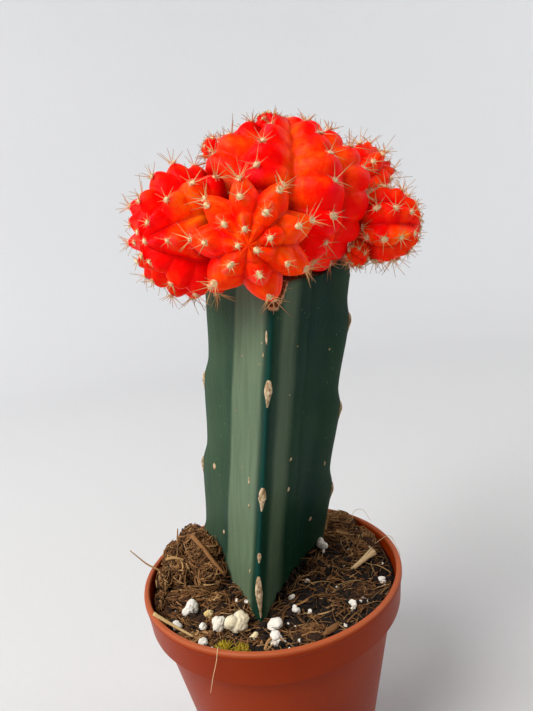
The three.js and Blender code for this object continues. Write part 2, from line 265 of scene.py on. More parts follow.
def lump_mesh(name, centres, turns, sizes, roughness, subdivisions=2, tints=None, seed=1):
    """Dented balls. Each has a centre, a 3x3 turn and three half sizes, in metres."""
    shape, shape_faces = template(bpy.ops.mesh.primitive_ico_sphere_add, subdivisions=subdivisions, radius=1)
    dice = np.random.default_rng(seed)
    tints = np.zeros(len(centres)) if tints is None else tints
    all_points = []
    for centre, turn, size in zip(centres, turns, sizes):
        waves = dice.normal(size=(3, 3)) * DENTS
        phase = dice.uniform(0, 6, 3)
        dents = 1 + roughness * np.sin(shape @ waves.T + phase).sum(axis=1) / 2
        points = (shape * dents[:, None] * np.asarray(size)) @ np.asarray(turn).T + np.asarray(centre)
        all_points.append(points)
    faces = copied_faces(shape_faces, len(all_points), len(shape))
    piece = mesh_piece(name, np.concatenate(all_points), faces)
    set_attribute(piece, "tint", np.repeat(tints, len(shape)))
    return piece


def random_turn(dice):
    """A random 3x3 rotation."""
    matrix, _ = np.linalg.qr(dice.normal(size=(3, 3)))
    return matrix * np.sign(np.linalg.det(matrix))


# %% [markdown]
# ## Materials
#
# Colours are written as the hex values that a colour picker shows, and one function turns them into the
# linear values that the shader wants. One small function adds a node, with its settings and its links.


# %% Colour and node helpers
def linear(hex_value):
    """An sRGB hex colour such as 'ff8800' as linear red, green, blue and alpha."""
    channels = [int(hex_value[i:i + 2], 16) / 255 for i in (0, 2, 4)]
    return [c / 12.92 if c <= 0.04045 else ((c + 0.055) / 1.055) ** 2.4 for c in channels] + [1.0]


def add_node(tree, kind, sockets=None, links=None, **settings):
    """Adds a node. `sockets` holds fixed input values, `links` what feeds an input."""
    node = tree.nodes.new(kind)
    for name, value in settings.items():
        setattr(node, name, value)
    for name, value in (sockets or {}).items():
        node.inputs[name].default_value = value
    for name, source in (links or {}).items():
        tree.links.new(source, node.inputs[name])
    return node


def color_steps(tree, factor, steps):
    """A colour ramp: `steps` are place and hex colour."""
    ramp = add_node(tree, "ShaderNodeValToRGB", links={"Fac": factor})
    stops = ramp.color_ramp.elements
    while len(stops) < len(steps):
        stops.new(0.5)
    for stop, (place, color) in zip(stops, steps):
        stop.position = place
        stop.color = linear(color)
    return ramp.outputs["Color"]


def new_material(name, **shader):
    """An empty material with one Principled shader, and the object's own coordinates."""
    material = bpy.data.materials.new(name)
    material.use_nodes = True
    tree = material.node_tree
    tree.nodes.clear()
    output = add_node(tree, "ShaderNodeOutputMaterial")
    surface = add_node(tree, "ShaderNodeBsdfPrincipled", sockets=shader)
    tree.links.new(surface.outputs["BSDF"], output.inputs["Surface"])
    place = add_node(tree, "ShaderNodeTexCoord").outputs["Object"]
    return material, tree, surface, place


def mix_color(tree, factor, first, second):
    """Mixes two colours, each a socket or a hex value."""
    node = add_node(tree, "ShaderNodeMix", data_type="RGBA")
    for socket, value in ((node.inputs[0], factor), (node.inputs[6], first), (node.inputs[7], second)):
        if isinstance(value, bpy.types.NodeSocket):
            tree.links.new(value, socket)
        else:
            socket.default_value = linear(value) if isinstance(value, str) else value
    return node.outputs[2]


def noise_at(tree, place, size_mm, detail=3, rough=0.5):
    """Noise with lumps of about that many millimetres."""
    sockets = {"Scale": 1 / (size_mm * MM), "Detail": detail, "Roughness": rough}
    return add_node(tree, "ShaderNodeTexNoise", sockets, {"Vector": place}).outputs["Fac"]


def span(tree, value, low, high, to_low=0.0, to_high=1.0):
    """Maps a range of values onto another, and clamps it."""
    sockets = {"From Min": low, "From Max": high, "To Min": to_low, "To Max": to_high}
    return add_node(tree, "ShaderNodeMapRange", sockets, {"Value": value}).outputs["Result"]


def bumps(tree, surface, height, depth_mm, under=None):
    """Bump of a real depth. `under` is an earlier bump that it lies on."""
    links = {"Height": height}
    if under is not None:
        links["Normal"] = under
    bump = add_node(tree, "ShaderNodeBump", {"Distance": depth_mm * MM, "Strength": 1.0}, links)
    tree.links.new(bump.outputs["Normal"], surface.inputs["Normal"])
    return bump.outputs["Normal"]


def attribute(tree, name):
    """A number that the mesh carries for each vertex."""
    return add_node(tree, "ShaderNodeAttribute", attribute_name=name).outputs["Fac"]


# %% [markdown]
# ** Cactus flesh without chlorophyll.** The skin is thin, waxy and a little see-through, so light goes in and
# comes out red, and a faint painted glow, emission in the flesh's own colour, stands for more of that light.
# Where the flesh is younger or thinner it turns orange. On the crests, where the wax would catch the sky, a
# pink highlight is painted, and painted shade darkens the valleys. The mesh carries `crest`, which is 1 on a
# rib's edge and 0 in the valley, `amber`, which says how orange that part of the plant is, and
# `painted_nook_shade`, which is 1 deep between two bodies, where shade is painted dark red.


# %% Waxy red flesh
def red_flesh_material():
    material, tree, skin, place = new_material(
        "waxy_red_cactus_flesh",
        **{"Roughness": 0.4, "IOR": 1.42, "Specular IOR Level": 0.08, "Subsurface Weight": 0.1,
           "Subsurface Scale": 1.2 * MM, "Subsurface Radius": (1.0, 0.2, 0.05)})
    crest = attribute(tree, "crest")
    amber = attribute(tree, "amber")
    patches = noise_at(tree, place, 7, detail=2)
    mottle = noise_at(tree, place, 1.1, detail=4, rough=0.6)
    reds = color_steps(tree, span(tree, mottle, 0.3, 0.7), [(0, "ec0000"), (0.5, "fc0300"), (1, "ff1000")])
    orange = color_steps(tree, mottle, [(0.3, "ff3600"), (0.7, "ff6c08")])
    lift = add_node(tree, "ShaderNodeMath", {1: 0.62}, {0: amber}, operation="MULTIPLY").outputs[0]
    edge = add_node(tree, "ShaderNodeMath", {}, {0: patches, 1: lift}, operation="ADD").outputs[0]
    color = mix_color(tree, span(tree, edge, 0.52, 1.0), reds, orange)
    color = mix_color(tree, span(tree, amber, 0.75, 1.15), color, "ff9a10")
    # Painted shade: the valleys are darkened to a deep red.
    color = mix_color(tree, span(tree, crest, 0.2, 0.02, 0, 0.55), color, "b40000")
    # Painted highlight: pink on the crests, where the wax would catch the sky.
    pink = add_node(tree, "ShaderNodeMath", {}, {
        0: span(tree, crest, 0.72, 1.0),
        1: span(tree, noise_at(tree, place, 3.5, detail=1), 0.42, 0.68),
    }, operation="MULTIPLY").outputs[0]
    color = mix_color(tree, span(tree, pink, 0, 1, 0, 0.3), color, "fa3660")
    # Painted shade: dark red deep between two bodies.
    color = mix_color(tree, span(tree, attribute(tree, "painted_nook_shade"), 0, 1, 0, 0.75), color, "6e0000")
    tree.links.new(color, skin.inputs["Base Color"])
    # Painted glow: the flesh gives off a little light of its own colour, for light that passes through it.
    tree.links.new(color, skin.inputs["Emission Color"])
    skin.inputs["Emission Strength"].default_value = 0.12
    fine = noise_at(tree, place, 0.35, detail=3)
    bumps(tree, skin, fine, 0.035, under=bumps(tree, skin, mottle, 0.12))
    return material


RED_FLESH = red_flesh_material()

# %% [markdown]
# ** Green stem skin.** The rootstock has a hard, smooth cuticle, nearly black-green, and the shader's gloss is
# turned far down. The light and sheen on its flanks are painted instead, in a pale grey-green:
# `painted_flank_light` is high where that painted light lies, on the flanks of a rib, and `edge` is 1 on the
# rib's dark edge. `cork` is 1 where the skin was pared off for the graft: there it has dried to brown,
# fibrous cork.


# %% Green waxy stem skin
def stem_material():
    material, tree, skin, place = new_material(
        "waxy_green_stem_skin", **{"Roughness": 0.36, "IOR": 1.5, "Specular IOR Level": 0.03})
    broad = noise_at(tree, place, 14, detail=2)
    fine = noise_at(tree, place, 0.7, detail=4, rough=0.65)
    green = color_steps(tree, broad, [(0.32, "12302a"), (0.5, "153424"), (0.7, "1e3d28")])
    green = mix_color(tree, span(tree, fine, 0.35, 0.75, 0, 0.25), green, "22402b")
    streaks = add_node(tree, "ShaderNodeMapping", {"Scale": (1, 1, 0.05)}, {"Vector": place})
    streaky = span(tree, noise_at(tree, streaks.outputs["Vector"], 1.6, detail=3), 0.3, 0.7, 0.75, 1.0)
    # Painted light: pale grey-green bands where the flanks catch light and sheen.
    painted_flank_light = add_node(tree, "ShaderNodeMath", {}, {0: attribute(tree, "painted_flank_light"), 1: streaky},
                     operation="MULTIPLY").outputs[0]
    green = mix_color(tree, painted_flank_light, green, "788a6c")
    green = mix_color(tree, span(tree, attribute(tree, "edge"), 0.9, 0.975, 0, 0.75), green, "0f3a34")
    dots = add_node(tree, "ShaderNodeTexVoronoi", {"Scale": 1 / (2.3 * MM), "Randomness": 1.0},
                    {"Vector": place}).outputs["Distance"]
    green = mix_color(tree, span(tree, dots, 0.08, 0.04, 0, 0.55), green, "8d9a78")
    grain = add_node(tree, "ShaderNodeMapping", {"Scale": (1, 1, 0.18)}, {"Vector": place}).outputs["Vector"]
    fibre = noise_at(tree, grain, 0.35, detail=4, rough=0.7)
    bark = color_steps(tree, fibre, [(0.3, "2c150c"), (0.5, "5c3420"), (0.66, "a5714a")])
    cork = attribute(tree, "cork")
    color = mix_color(tree, span(tree, cork, 0.1, 0.4), green, "c8a67c")
    color = mix_color(tree, span(tree, cork, 0.6, 0.9), color, bark)
    tree.links.new(color, skin.inputs["Base Color"])
    tree.links.new(span(tree, cork, 0, 1, 0.36, 0.9), skin.inputs["Roughness"])
    waxy = bumps(tree, skin, fine, 0.03)
    bumps(tree, skin, fibre, 0.15, under=waxy)
    return material


STEM_SKIN = stem_material()

# %% [markdown]
# **Cork.** Old areoles and healed scars are dry cork: matt, tan, cracked, and darker where it is deep.


# %% Dry cork
def cork_material():
    material, tree, surface, place = new_material("dry_tan_cork", **{"Roughness": 0.85, "IOR": 1.45})
    lumps = noise_at(tree, place, 0.8, detail=4, rough=0.6)
    color = color_steps(tree, lumps, [(0.3, "6e5138"), (0.45, "a98c66"), (0.6, "cdb795"), (0.75, "e3d3b4")])
    tree.links.new(color, surface.inputs["Base Color"])
    bumps(tree, surface, lumps, 0.2)
    return material


CORK = cork_material()

# %% [markdown]
# **Wool and spines.** An areole is a cushion of cream felt. Its spines are hard and glossy, amber where they
# leave the wool and brown to grey at the tip. Wool scatters light at its edges, which sheen stands for.


# %% Wool and spines
def wool_material():
    material, tree, surface, place = new_material(
        "cream_areole_wool", **{"Roughness": 0.95, "Sheen Weight": 0.6, "Sheen Roughness": 0.5})
    tint = attribute(tree, "tint")
    color = color_steps(tree, tint, [(0, "eccb8e"), (0.5, "d9b47c"), (0.8, "b08a5e"), (1, "76563b")])
    lint = noise_at(tree, place, 0.25, detail=3)
    color = mix_color(tree, span(tree, lint, 0.35, 0.7, 0.0, 0.45), color, "fbe9c4")
    tree.links.new(color, surface.inputs["Base Color"])
    bumps(tree, surface, lint, 0.12)
    return material


def spine_material():
    material, tree, surface, _ = new_material("hard_amber_spine", **{"Roughness": 0.4, "IOR": 1.5})
    young = color_steps(tree, attribute(tree, "along"), [(0, "f2cf90"), (0.5, "dba65c"), (1, "a06c3a")])
    old = color_steps(tree, attribute(tree, "along"), [(0, "dcaa66"), (0.55, "b48552"), (1, "6e5140")])
    color = mix_color(tree, attribute(tree, "tint"), young, old)
    tree.links.new(color, surface.inputs["Base Color"])
    return material


WOOL = wool_material()
SPINE = spine_material()

# %% [markdown]
# ** Pot plastic.** The pot is injection-moulded polypropylene, coloured right through with an iron-oxide
# orange. It has a satin gloss, a faint flow pattern and thin scuffs where pots were nested. Over the last
# half millimetre of its rim, a pale highlight is painted.


# %% Moulded terracotta-coloured plastic
# Where the painted rim highlight starts and where it is full, in mm.
RIM_HIGHLIGHT_FROM = 49.25
RIM_HIGHLIGHT_FULL = 49.85


def pot_material():
    material, tree, surface, place = new_material("moulded_polypropylene",
                                                 **{"Roughness": 0.36, "Specular IOR Level": 0.06})
    cloud = noise_at(tree, place, 18, detail=2)
    color = color_steps(tree, cloud, [(0.3, "862804"), (0.7, "943005")])
    scuffs = add_node(tree, "ShaderNodeMapping", {"Scale": (0.25, 0.25, 3.2)}, {"Vector": place})
    scratch = noise_at(tree, scuffs.outputs["Vector"], 0.6, detail=5, rough=0.75)
    color = mix_color(tree, span(tree, scratch, 0.6, 0.8, 0, 0.3), color, "b85f3c")
    height = add_node(tree, "ShaderNodeSeparateXYZ", links={"Vector": place}).outputs["Z"]
    # Painted highlight: the top of the rim is paler, for the light it catches.
    worn = span(tree, height, RIM_HIGHLIGHT_FROM * MM, RIM_HIGHLIGHT_FULL * MM, 0, 0.42)
    color = mix_color(tree, worn, color, "cf7a50")
    tree.links.new(color, surface.inputs["Base Color"])
    tree.links.new(span(tree, scratch, 0.4, 0.8, 0.3, 0.5), surface.inputs["Roughness"])
    grit = noise_at(tree, place, 0.5, detail=2)
    bumps(tree, surface, grit, 0.012, under=bumps(tree, surface, scratch, 0.01))
    return material


POT_PLASTIC = pot_material()

# %% [markdown]
# **Soil.** Peat is nearly black when damp, coir is a warm brown fibre. Both are matt. The crumbs and fibres
# get their own tint each, so that no two neighbours are alike.


# %% Peat, coir, perlite, moss, wood
def loose_material(name, steps, size_mm, depth_mm, roughness=0.95):
    """A matt, crumbly finish. The tint of each lump or strand picks its colour."""
    material, tree, surface, place = new_material(name, **{"Roughness": roughness, "IOR": 1.4})
    grain = noise_at(tree, place, size_mm, detail=4, rough=0.65)
    mixed = add_node(tree, "ShaderNodeMath", {1: 0.7}, {0: attribute(tree, "tint")}, operation="MULTIPLY")
    shade = add_node(tree, "ShaderNodeMath", {1: 0.3, 2: 0}, {0: grain, 2: mixed.outputs[0]},
                     operation="MULTIPLY_ADD").outputs[0]
    tree.links.new(color_steps(tree, shade, steps), surface.inputs["Base Color"])
    bumps(tree, surface, grain, depth_mm)
    return material


PEAT = loose_material(
    "damp_peat_crumb", [(0.1, "0c0704"), (0.4, "20130a"), (0.7, "432914"), (1, "80592f")], 0.6, 0.25)
COIR = loose_material(
    "dry_coir_fibre", [(0.1, "241409"), (0.4, "5a3819"), (0.7, "92663a"), (1, "cfab74")], 0.5, 0.12, 0.85)
PERLITE = loose_material(
    "expanded_perlite", [(0.1, "efece4"), (0.45, "e8e1cf"), (0.7, "e2d2a2"), (1, "d4ab4c")], 0.35, 0.14, 0.9)
MOSS = loose_material("dry_moss", [(0.1, "7d6a10"), (0.5, "a8901a"), (1, "c9b63a")], 0.5, 0.1)
WOOD = loose_material(
    "bare_dry_wood", [(0.1, "8d6a44"), (0.5, "c8a578"), (1, "e6cfa4")], 0.4, 0.08, 0.75)
STRAW = loose_material("dry_straw", [(0.1, "b08850"), (0.5, "d8b981"), (1, "efdcb0")], 0.4, 0.03, 0.6)
print("materials:", len(bpy.data.materials))

# %% [markdown]
# ## The pot
#
# A nursery pot is a thin plastic shell: a foot ring, a tapering wall, and a wide band at the rim that stops
# nested pots from jamming. It is a turned shape, so it is made ring by ring: a disc is extruded upwards, and
# each new ring is scaled to its radius. The same way makes the bed of soil.


# %% Turned shapes
def turned(name, profile, segments=144):
    """Extrudes a disc through rings of (radius, height) in millimetres, and closes it at both ends."""
    radius, height = profile[0]
    piece = new_piece(name, bpy.ops.mesh.primitive_circle_add, vertices=segments, radius=radius * MM,
                      fill_type="NGON", location=(0, 0, height * MM))
    bpy.ops.object.mode_set(mode="EDIT")
    bpy.ops.mesh.select_all(action="SELECT")
    for next_radius, next_height in profile[1:]:
        step = (0, 0, (next_height - height) * MM)
        bpy.ops.mesh.extrude_region_move(TRANSFORM_OT_translate={"value": step})
        scale = next_radius / radius
        bpy.ops.transform.resize(value=(scale, scale, 1), center_override=(0, 0, next_height * MM))
        radius, height = next_radius, next_height
    bpy.ops.mesh.select_all(action="SELECT")
    bpy.ops.mesh.normals_make_consistent(inside=False)
    bpy.ops.object.mode_set(mode="OBJECT")
    return piece


# %% Pot shell
pot_low, pot_high = in_mm(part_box("pot"))
POT_HEIGHT = pot_high[2]
RIM_RADIUS = (pot_high[0] - pot_low[0]) / 2
SHOULDER = POT_HEIGHT - 6.7
BAND_FOOT = RIM_RADIUS - 0.7
WALL_TOP = RIM_RADIUS - 2.35
WALL_FOOT = 16.1
WALL = 0.9
FLOOR_TOP = 2.2


def wall_radius(height):
    """Outer radius of the tapering wall."""
    return WALL_FOOT + (WALL_TOP - WALL_FOOT) * height / SHOULDER


pot = turned("pot_shell", [
    (6, 0), (6.2, 0.2), (6.3, 1.1), (6.5, 1.2), (14.4, 1.2), (14.6, 1.0), (14.8, 0.1), (14.9, 0),
    (15.9, 0), (16.08, 0.1), (wall_radius(0.4), 0.4), (wall_radius(15), 15), (wall_radius(30), 30),
    (wall_radius(SHOULDER - 0.6), SHOULDER - 0.6), (WALL_TOP, SHOULDER - 0.15), (WALL_TOP + 0.15, SHOULDER),
    (BAND_FOOT - 0.25, SHOULDER), (BAND_FOOT - 0.05, SHOULDER + 0.08), (BAND_FOOT, SHOULDER + 0.3),
    (RIM_RADIUS - 0.25, POT_HEIGHT - 1.6), (RIM_RADIUS - 0.2, POT_HEIGHT - 1.35),
    (RIM_RADIUS - 0.03, POT_HEIGHT - 1.1), (RIM_RADIUS, POT_HEIGHT - 0.6),
    (RIM_RADIUS - 0.1, POT_HEIGHT - 0.2), (RIM_RADIUS - 0.35, POT_HEIGHT),
    (RIM_RADIUS - 0.9, POT_HEIGHT), (RIM_RADIUS - 1.1, POT_HEIGHT - 0.15),
    (RIM_RADIUS - 1.2, POT_HEIGHT - 0.5), (BAND_FOOT - WALL, SHOULDER + 1.1),
    (BAND_FOOT - WALL - 0.2, SHOULDER + WALL),
    (WALL_TOP - WALL + 0.1, SHOULDER + WALL), (WALL_TOP - WALL, SHOULDER + WALL - 0.2),
    (wall_radius(FLOOR_TOP + 0.5) - WALL, FLOOR_TOP + 0.5), (wall_radius(FLOOR_TOP) - WALL - 0.5, FLOOR_TOP),
    (8, FLOOR_TOP), (3, FLOOR_TOP),
])

# %% [markdown]
# Water has to get out, so the base has a ring of drain holes between the pad and the foot ring. Six pegs are
# cut away with a Boolean modifier.

# %% Drain holes
DRAIN_HOLES = 6
DRAIN_CIRCLE = 10.6
DRAIN_RADIUS = 2.3
PEG_MIDDLE = 1.7
PEG_LENGTH = 4
for hole in range(DRAIN_HOLES):
    angle = 2 * math.pi * hole / DRAIN_HOLES
    place = (DRAIN_CIRCLE * math.cos(angle) * MM, DRAIN_CIRCLE * math.sin(angle) * MM, PEG_MIDDLE * MM)
    peg = new_piece("peg", bpy.ops.mesh.primitive_cylinder_add, vertices=32, radius=DRAIN_RADIUS * MM,
                    depth=PEG_LENGTH * MM, location=place)
    cut = pot.modifiers.new("drain", "BOOLEAN")
    cut.object = peg
    cut.solver = "EXACT"
    choose(pot)
    bpy.ops.object.modifier_apply(modifier=cut.name)
    bpy.data.objects.remove(peg)
choose(pot)
bpy.ops.object.shade_smooth_by_angle(angle=math.radians(28))
hand_over(pot, POT_PLASTIC, "pot_plastic", "pot")
print("pot faces:", len(pot.data.polygons))

# %% [markdown]
# ## The plant's own frame
#
# The stem leans in its pot. Everything on the plant is made upright, round the stem's axis, and then one
# matrix leans it over. Directions on the plant are given as azimuth and elevation in that frame.

# %% Plant frame
STEM_FOOT = Vector((-2.65, 4.2, 46))
STEM_AXIS = Vector((0.164, -0.11, 1)).normalized()
HEAD_HEIGHT = 81
LEAN = np.array(Vector((0, 0, 1)).rotation_difference(STEM_AXIS).to_matrix())


def direction(azimuth, elevation):
    """The unit vector that points that way, in degrees."""
    azimuth, elevation = np.radians(azimuth), np.radians(elevation)
    return np.array([np.cos(elevation) * np.cos(azimuth), np.cos(elevation) * np.sin(azimuth),
                     np.sin(elevation)])


def turn_to(axis):
    """The 3x3 turn that takes +Z to an axis by the shortest way."""
    return np.array(Vector((0, 0, 1)).rotation_difference(Vector(axis)).to_matrix())


def on_plant(points, height=0.0):
    """Millimetres in the plant's frame, raised by a height up the stem, as metres in the pot's frame."""
    raised = np.asarray(points, dtype=float) + np.array([0, 0, height])
    return (raised @ LEAN.T + np.array(STEM_FOOT)) * MM


# %% [markdown]
# ## The rootstock
#
# The stem has a round core and three thin ribs, like a long star. Its margin is a low saw: just above each
# areole the edge drops back, then it slopes out again. Near the graft each rib's edge is pared off at a
# slant with a knife, so the drying skin doesn't lift the scion. A cylinder is cut into rings in edit mode,
# and its vertices are then moved onto that section, which no operator could draw.

# %% Section of the stem
STEM_BURIED = 22
GRAFT_HEIGHT = 67.8
CORE_RADIUS = 6.6
RIB_TIP_RADIUS = 17
RIB_HALF_WIDTH = 12.5
RIB_SHARPNESS = 1.65
RIB_WIDENING = 0.7
NOTCH_DEPTH = 1.05
NOTCH_SHARE = 0.25
PARED_REACH = 60
PARED_BLEND = 0.4
UNCUT = 99
FOOT_HEIGHT = 8
FOOT_SPREAD = 1.8
FOOT_TURN = 4
# Azimuth, height of the first areole, distance between areoles, height and depth of the pared corner.
STEM_RIBS = [(263, 9.8, 20, 4.4, 4.6), (143, 2.5, 20, 3.0, 2.5), (23, 18.5, 19.3, 2.4, 2.0)]


def at_foot(rib, height):
    """1 at the foot of the front rib, which spreads and turns a little there, fading upwards."""
    return (rib == STEM_RIBS[0][0]) * np.exp(-(np.clip(height, 0, None) / FOOT_HEIGHT) ** 2)


def rib_tip(rib, first_areole, pitch, height):
    """How far a rib's edge reaches out from the stem's axis."""
    phase = ((height - first_areole) / pitch) % 1
    notch = np.where(phase < NOTCH_SHARE, phase / NOTCH_SHARE, (1 - phase) / (1 - NOTCH_SHARE))
    notch = notch * notch * (3 - 2 * notch)
    whole = RIB_TIP_RADIUS + RIB_WIDENING * height / GRAFT_HEIGHT - NOTCH_DEPTH * notch
    whole = whole + FOOT_SPREAD * at_foot(rib, height)
    in_soil = np.clip(-height / STEM_BURIED, 0, 1)
    return whole + (CORE_RADIUS - whole) * in_soil


def stem_section(azimuth, height):
    """Radius of the stem, closeness to a rib's edge, and 1 where the rib is pared off."""
    radius = np.full(np.shape(azimuth), float(CORE_RADIUS))
    edge = np.zeros_like(radius)
    pared = np.zeros_like(radius)
    for rib, first, pitch, bevel_height, bevel_depth in STEM_RIBS:
        into_bevel = np.clip((height - GRAFT_HEIGHT) / bevel_height + 1, 0, 1)
        turn = (azimuth - rib - FOOT_TURN * at_foot(rib, height) + 180) % 360 - 180
        fall = 1 / (1 + np.abs(turn / RIB_HALF_WIDTH) ** RIB_SHARPNESS)
        tip = rib_tip(rib, first, pitch, height)
        reach = CORE_RADIUS + (tip - CORE_RADIUS) * fall
        knife = (tip - bevel_depth * into_bevel ** 0.8) / np.cos(np.radians(np.clip(turn, -70, 70)))
        knife = np.where(into_bevel > 0, knife, UNCUT)
        near = np.abs(turn) < PARED_REACH
        pared = np.maximum(pared, np.where(near, np.clip((reach - knife) / PARED_BLEND, 0, 1), 0))
        reach = np.minimum(reach, np.where(near, knife, UNCUT))
        radius = np.maximum(radius, reach)
        edge = np.maximum(edge, fall)
    return radius, edge, pared


# %% Stem cylinder, cut into rings
STEM_SEGMENTS = 264
STEM_CUTS = 300
stem = new_piece("stem", bpy.ops.mesh.primitive_cylinder_add, vertices=STEM_SEGMENTS, radius=1, depth=1)
bpy.ops.object.mode_set(mode="EDIT")
bpy.ops.mesh.select_mode(type="EDGE")
bpy.ops.mesh.select_all(action="DESELECT")
bpy.ops.object.mode_set(mode="OBJECT")
for edge in stem.data.edges:
    first, second = (stem.data.vertices[v].co for v in edge.vertices)
    edge.select = abs(first.z - second.z) > 0.5
bpy.ops.object.mode_set(mode="EDIT")
bpy.ops.mesh.subdivide(number_cuts=STEM_CUTS)
bpy.ops.mesh.select_mode(type="VERT")
bpy.ops.object.mode_set(mode="OBJECT")
print("stem vertices:", len(stem.data.vertices))

# %% [markdown]
# The columns of vertices are crowded towards the ribs' edges, where the surface turns sharply. Slow noise
# lets the flanks sag a little between the ribs. The right rib's pared top stands higher than the graft.

# %% Vertices on the section
CROWDING = 0.7
SAG = 0.28
RIGHT_RIB_LIFT = 2.6
RIGHT_RIB_SPREAD = 30
raw = points_of(stem)
share = raw[:, 2] + 0.5
turns = np.degrees(np.arctan2(raw[:, 1], raw[:, 0]))
azimuths = STEM_RIBS[0][0] + turns - np.degrees(CROWDING * np.sin(np.radians(3 * turns))) / 3
cosines, sines = np.cos(np.radians(azimuths)), np.sin(np.radians(azimuths))
heights = share * (GRAFT_HEIGHT + STEM_BURIED) - STEM_BURIED
radii, edges, pared = stem_section(azimuths, heights)
sag = wander(np.column_stack([radii * cosines, radii * sines, heights * 0.5]), 6.0, 3.0)
radii = radii + SAG * sag * (1 - edges ** 4) * (1 - pared)
near_right_rib = np.exp(-(((azimuths - STEM_RIBS[2][0] + 180) % 360 - 180) / RIGHT_RIB_SPREAD) ** 2)
far_out = np.clip(radii / 4 - 2, 0, 1)
near_top = np.clip(heights / 8 - 7.5, 0, 1)
lifted = heights + RIGHT_RIB_LIFT * near_right_rib * far_out * near_top
set_points(stem, on_plant(np.column_stack([radii * cosines, radii * sines, lifted])))
print("stem from", heights.min().round(1), "to", lifted.max().round(1), "mm along its axis")

# %% [markdown]
# The painted light isn't even: it is strong on the two flanks beside the front rib and at the back, faint on
# the broad left face, and missing in between. Each band is a soft step round the stem, in degrees from the
# front rib.

# %% Painted light and edges
EDGE_RIGHT_OF_FRONT = 0.93
from_front = (azimuths - STEM_RIBS[0][0] + 180) % 360 - 180
set_attribute(stem, "edge", edges * np.where(from_front > 1, EDGE_RIGHT_OF_FRONT, 1))
left_flank = np.clip((from_front + 83) / 8, 0, 1) * np.clip(-from_front / 4 - 0.8, 0, 1)
right_flank = np.clip((36 - from_front) / 14, 0, 1) * np.clip(from_front / 4 - 1.2, 0, 1)
back_flanks = np.exp(-((np.abs(from_front) - 150) / 22) ** 2)
left_face = np.clip((-from_front - 2) / 6, 0, 1) * np.clip((from_front + 128) / 10, 0, 1)
left_edge = np.exp(-((from_front + 112) / 16) ** 2)
right_edge = np.exp(-((from_front - 114) / 8) ** 2)
# Painted light: pale bands on the flanks, for the light and sheen they catch.
set_attribute(stem, "painted_flank_light", 0.1 * left_face + 0.1 * left_edge + 0.56 * left_flank + 0.42 * right_flank
              + 0.3 * back_flanks + 0.04 * right_edge)
set_attribute(stem, "cork", pared)
stem.data.polygons.foreach_set("use_smooth", [len(face.vertices) < 5 for face in stem.data.polygons])
hand_over(stem, STEM_SKIN, "stem_skin", "rootstock_stem")
print("vertices pared to cork:", int((pared > 0.5).sum()))

# %% [markdown]
# The stem's areoles are old: their wool is gone and a tear-drop of cork is left, with two pits where
# spines fell out and a tail that runs down the edge. Here and there a sucking insect or a thorn left a
# small corky scar. Each is a ball, pulled into a drop and laid on the skin.


# %% Cork drops
DROP_POINTS, DROP_FACES = template(bpy.ops.mesh.primitive_uv_sphere_add, segments=28, ring_count=24,
                                   radius=1)


def on_stem(azimuth, height):
    """A point on the stem's skin and the direction out of it, in the plant's frame."""
    here = []
    for d_azimuth, d_height in ((0, 0), (1.0, 0), (0, 0.3)):
        radius, _, _ = stem_section(np.array(azimuth + d_azimuth), np.array(height + d_height))
        here.append(np.append(direction(azimuth + d_azimuth, 0)[:2] * float(radius), height + d_height))
    outward = np.cross(here[1] - here[0], here[2] - here[0])
    outward /= np.linalg.norm(outward)
    return here[0], outward


def cork_drop(azimuth, height, width, length, tail):
    """A corky drop, `length` tall in all, with its `tail` share of the length pulled out downwards."""
    points = DROP_POINTS
    down = np.clip(-points[:, 2], 0, 1)
    narrow = 1 - tail * 0.8 * np.sin(down * math.pi / 2) ** 0.9
    dents = 1 + 0.07 * wander(points, 0.4, azimuth + height)
    across = points[:, 0] * width / 2 * narrow * dents
    deep = points[:, 1] * 0.42 * width * narrow * dents
    for side in (-0.25, 0.25):
        pit = np.exp(-((points[:, 0] - side) ** 2 + (points[:, 2] - 0.35 - 0.6 * side) ** 2) / 0.03)
        deep = deep + 0.22 * width * pit * (points[:, 1] < 0)
    tail_length = length * (0.5 + 0.16 * tail)
    tall = np.where(points[:, 2] > 0, points[:, 2] * (length - tail_length), points[:, 2] * tail_length)
    placed = np.empty_like(points)
    for index in range(len(points)):
        crest = azimuth + FOOT_TURN * at_foot(azimuth, height + tall[index])
        seat, _ = on_stem(crest, height + tall[index])
        outward = direction(crest, 0)
        sideways = np.cross([0, 0, 1], outward)
        placed[index] = seat + sideways * across[index] - outward * (deep[index] + 0.1 * width)
    return placed


# %% Areoles of the stem
DROP_WIDTH = 1.4
DROP_LENGTH = 6.4
LOWEST_DROP_LENGTH = 11
# The drops sit lower than the saw's steps at the foot, and nearly on them at the top.
DROP_SCALE = 1.03
DROP_SHIFT = 1.9
drops = []
for rib, first, pitch, bevel_height, _ in STEM_RIBS:
    height = first
    while height < GRAFT_HEIGHT - bevel_height:
        length = DROP_LENGTH if height > 12 else LOWEST_DROP_LENGTH
        drops.append(cork_drop(rib, height * DROP_SCALE - DROP_SHIFT, DROP_WIDTH, length, 1.0))
        height += pitch
# A small scar sits between the first two areoles of the front rib.
drops.append(cork_drop(STEM_RIBS[0][0], 15.5, 0.8, 2.3, 0.4))
stem_areoles = mesh_piece("stem_areoles", on_plant(np.concatenate(drops)),
                          copied_faces(DROP_FACES, len(drops), len(DROP_POINTS)))
hand_over(stem_areoles, CORK, "stem_skin")

# %% Scars
SCAR_THICKNESS = 0.16
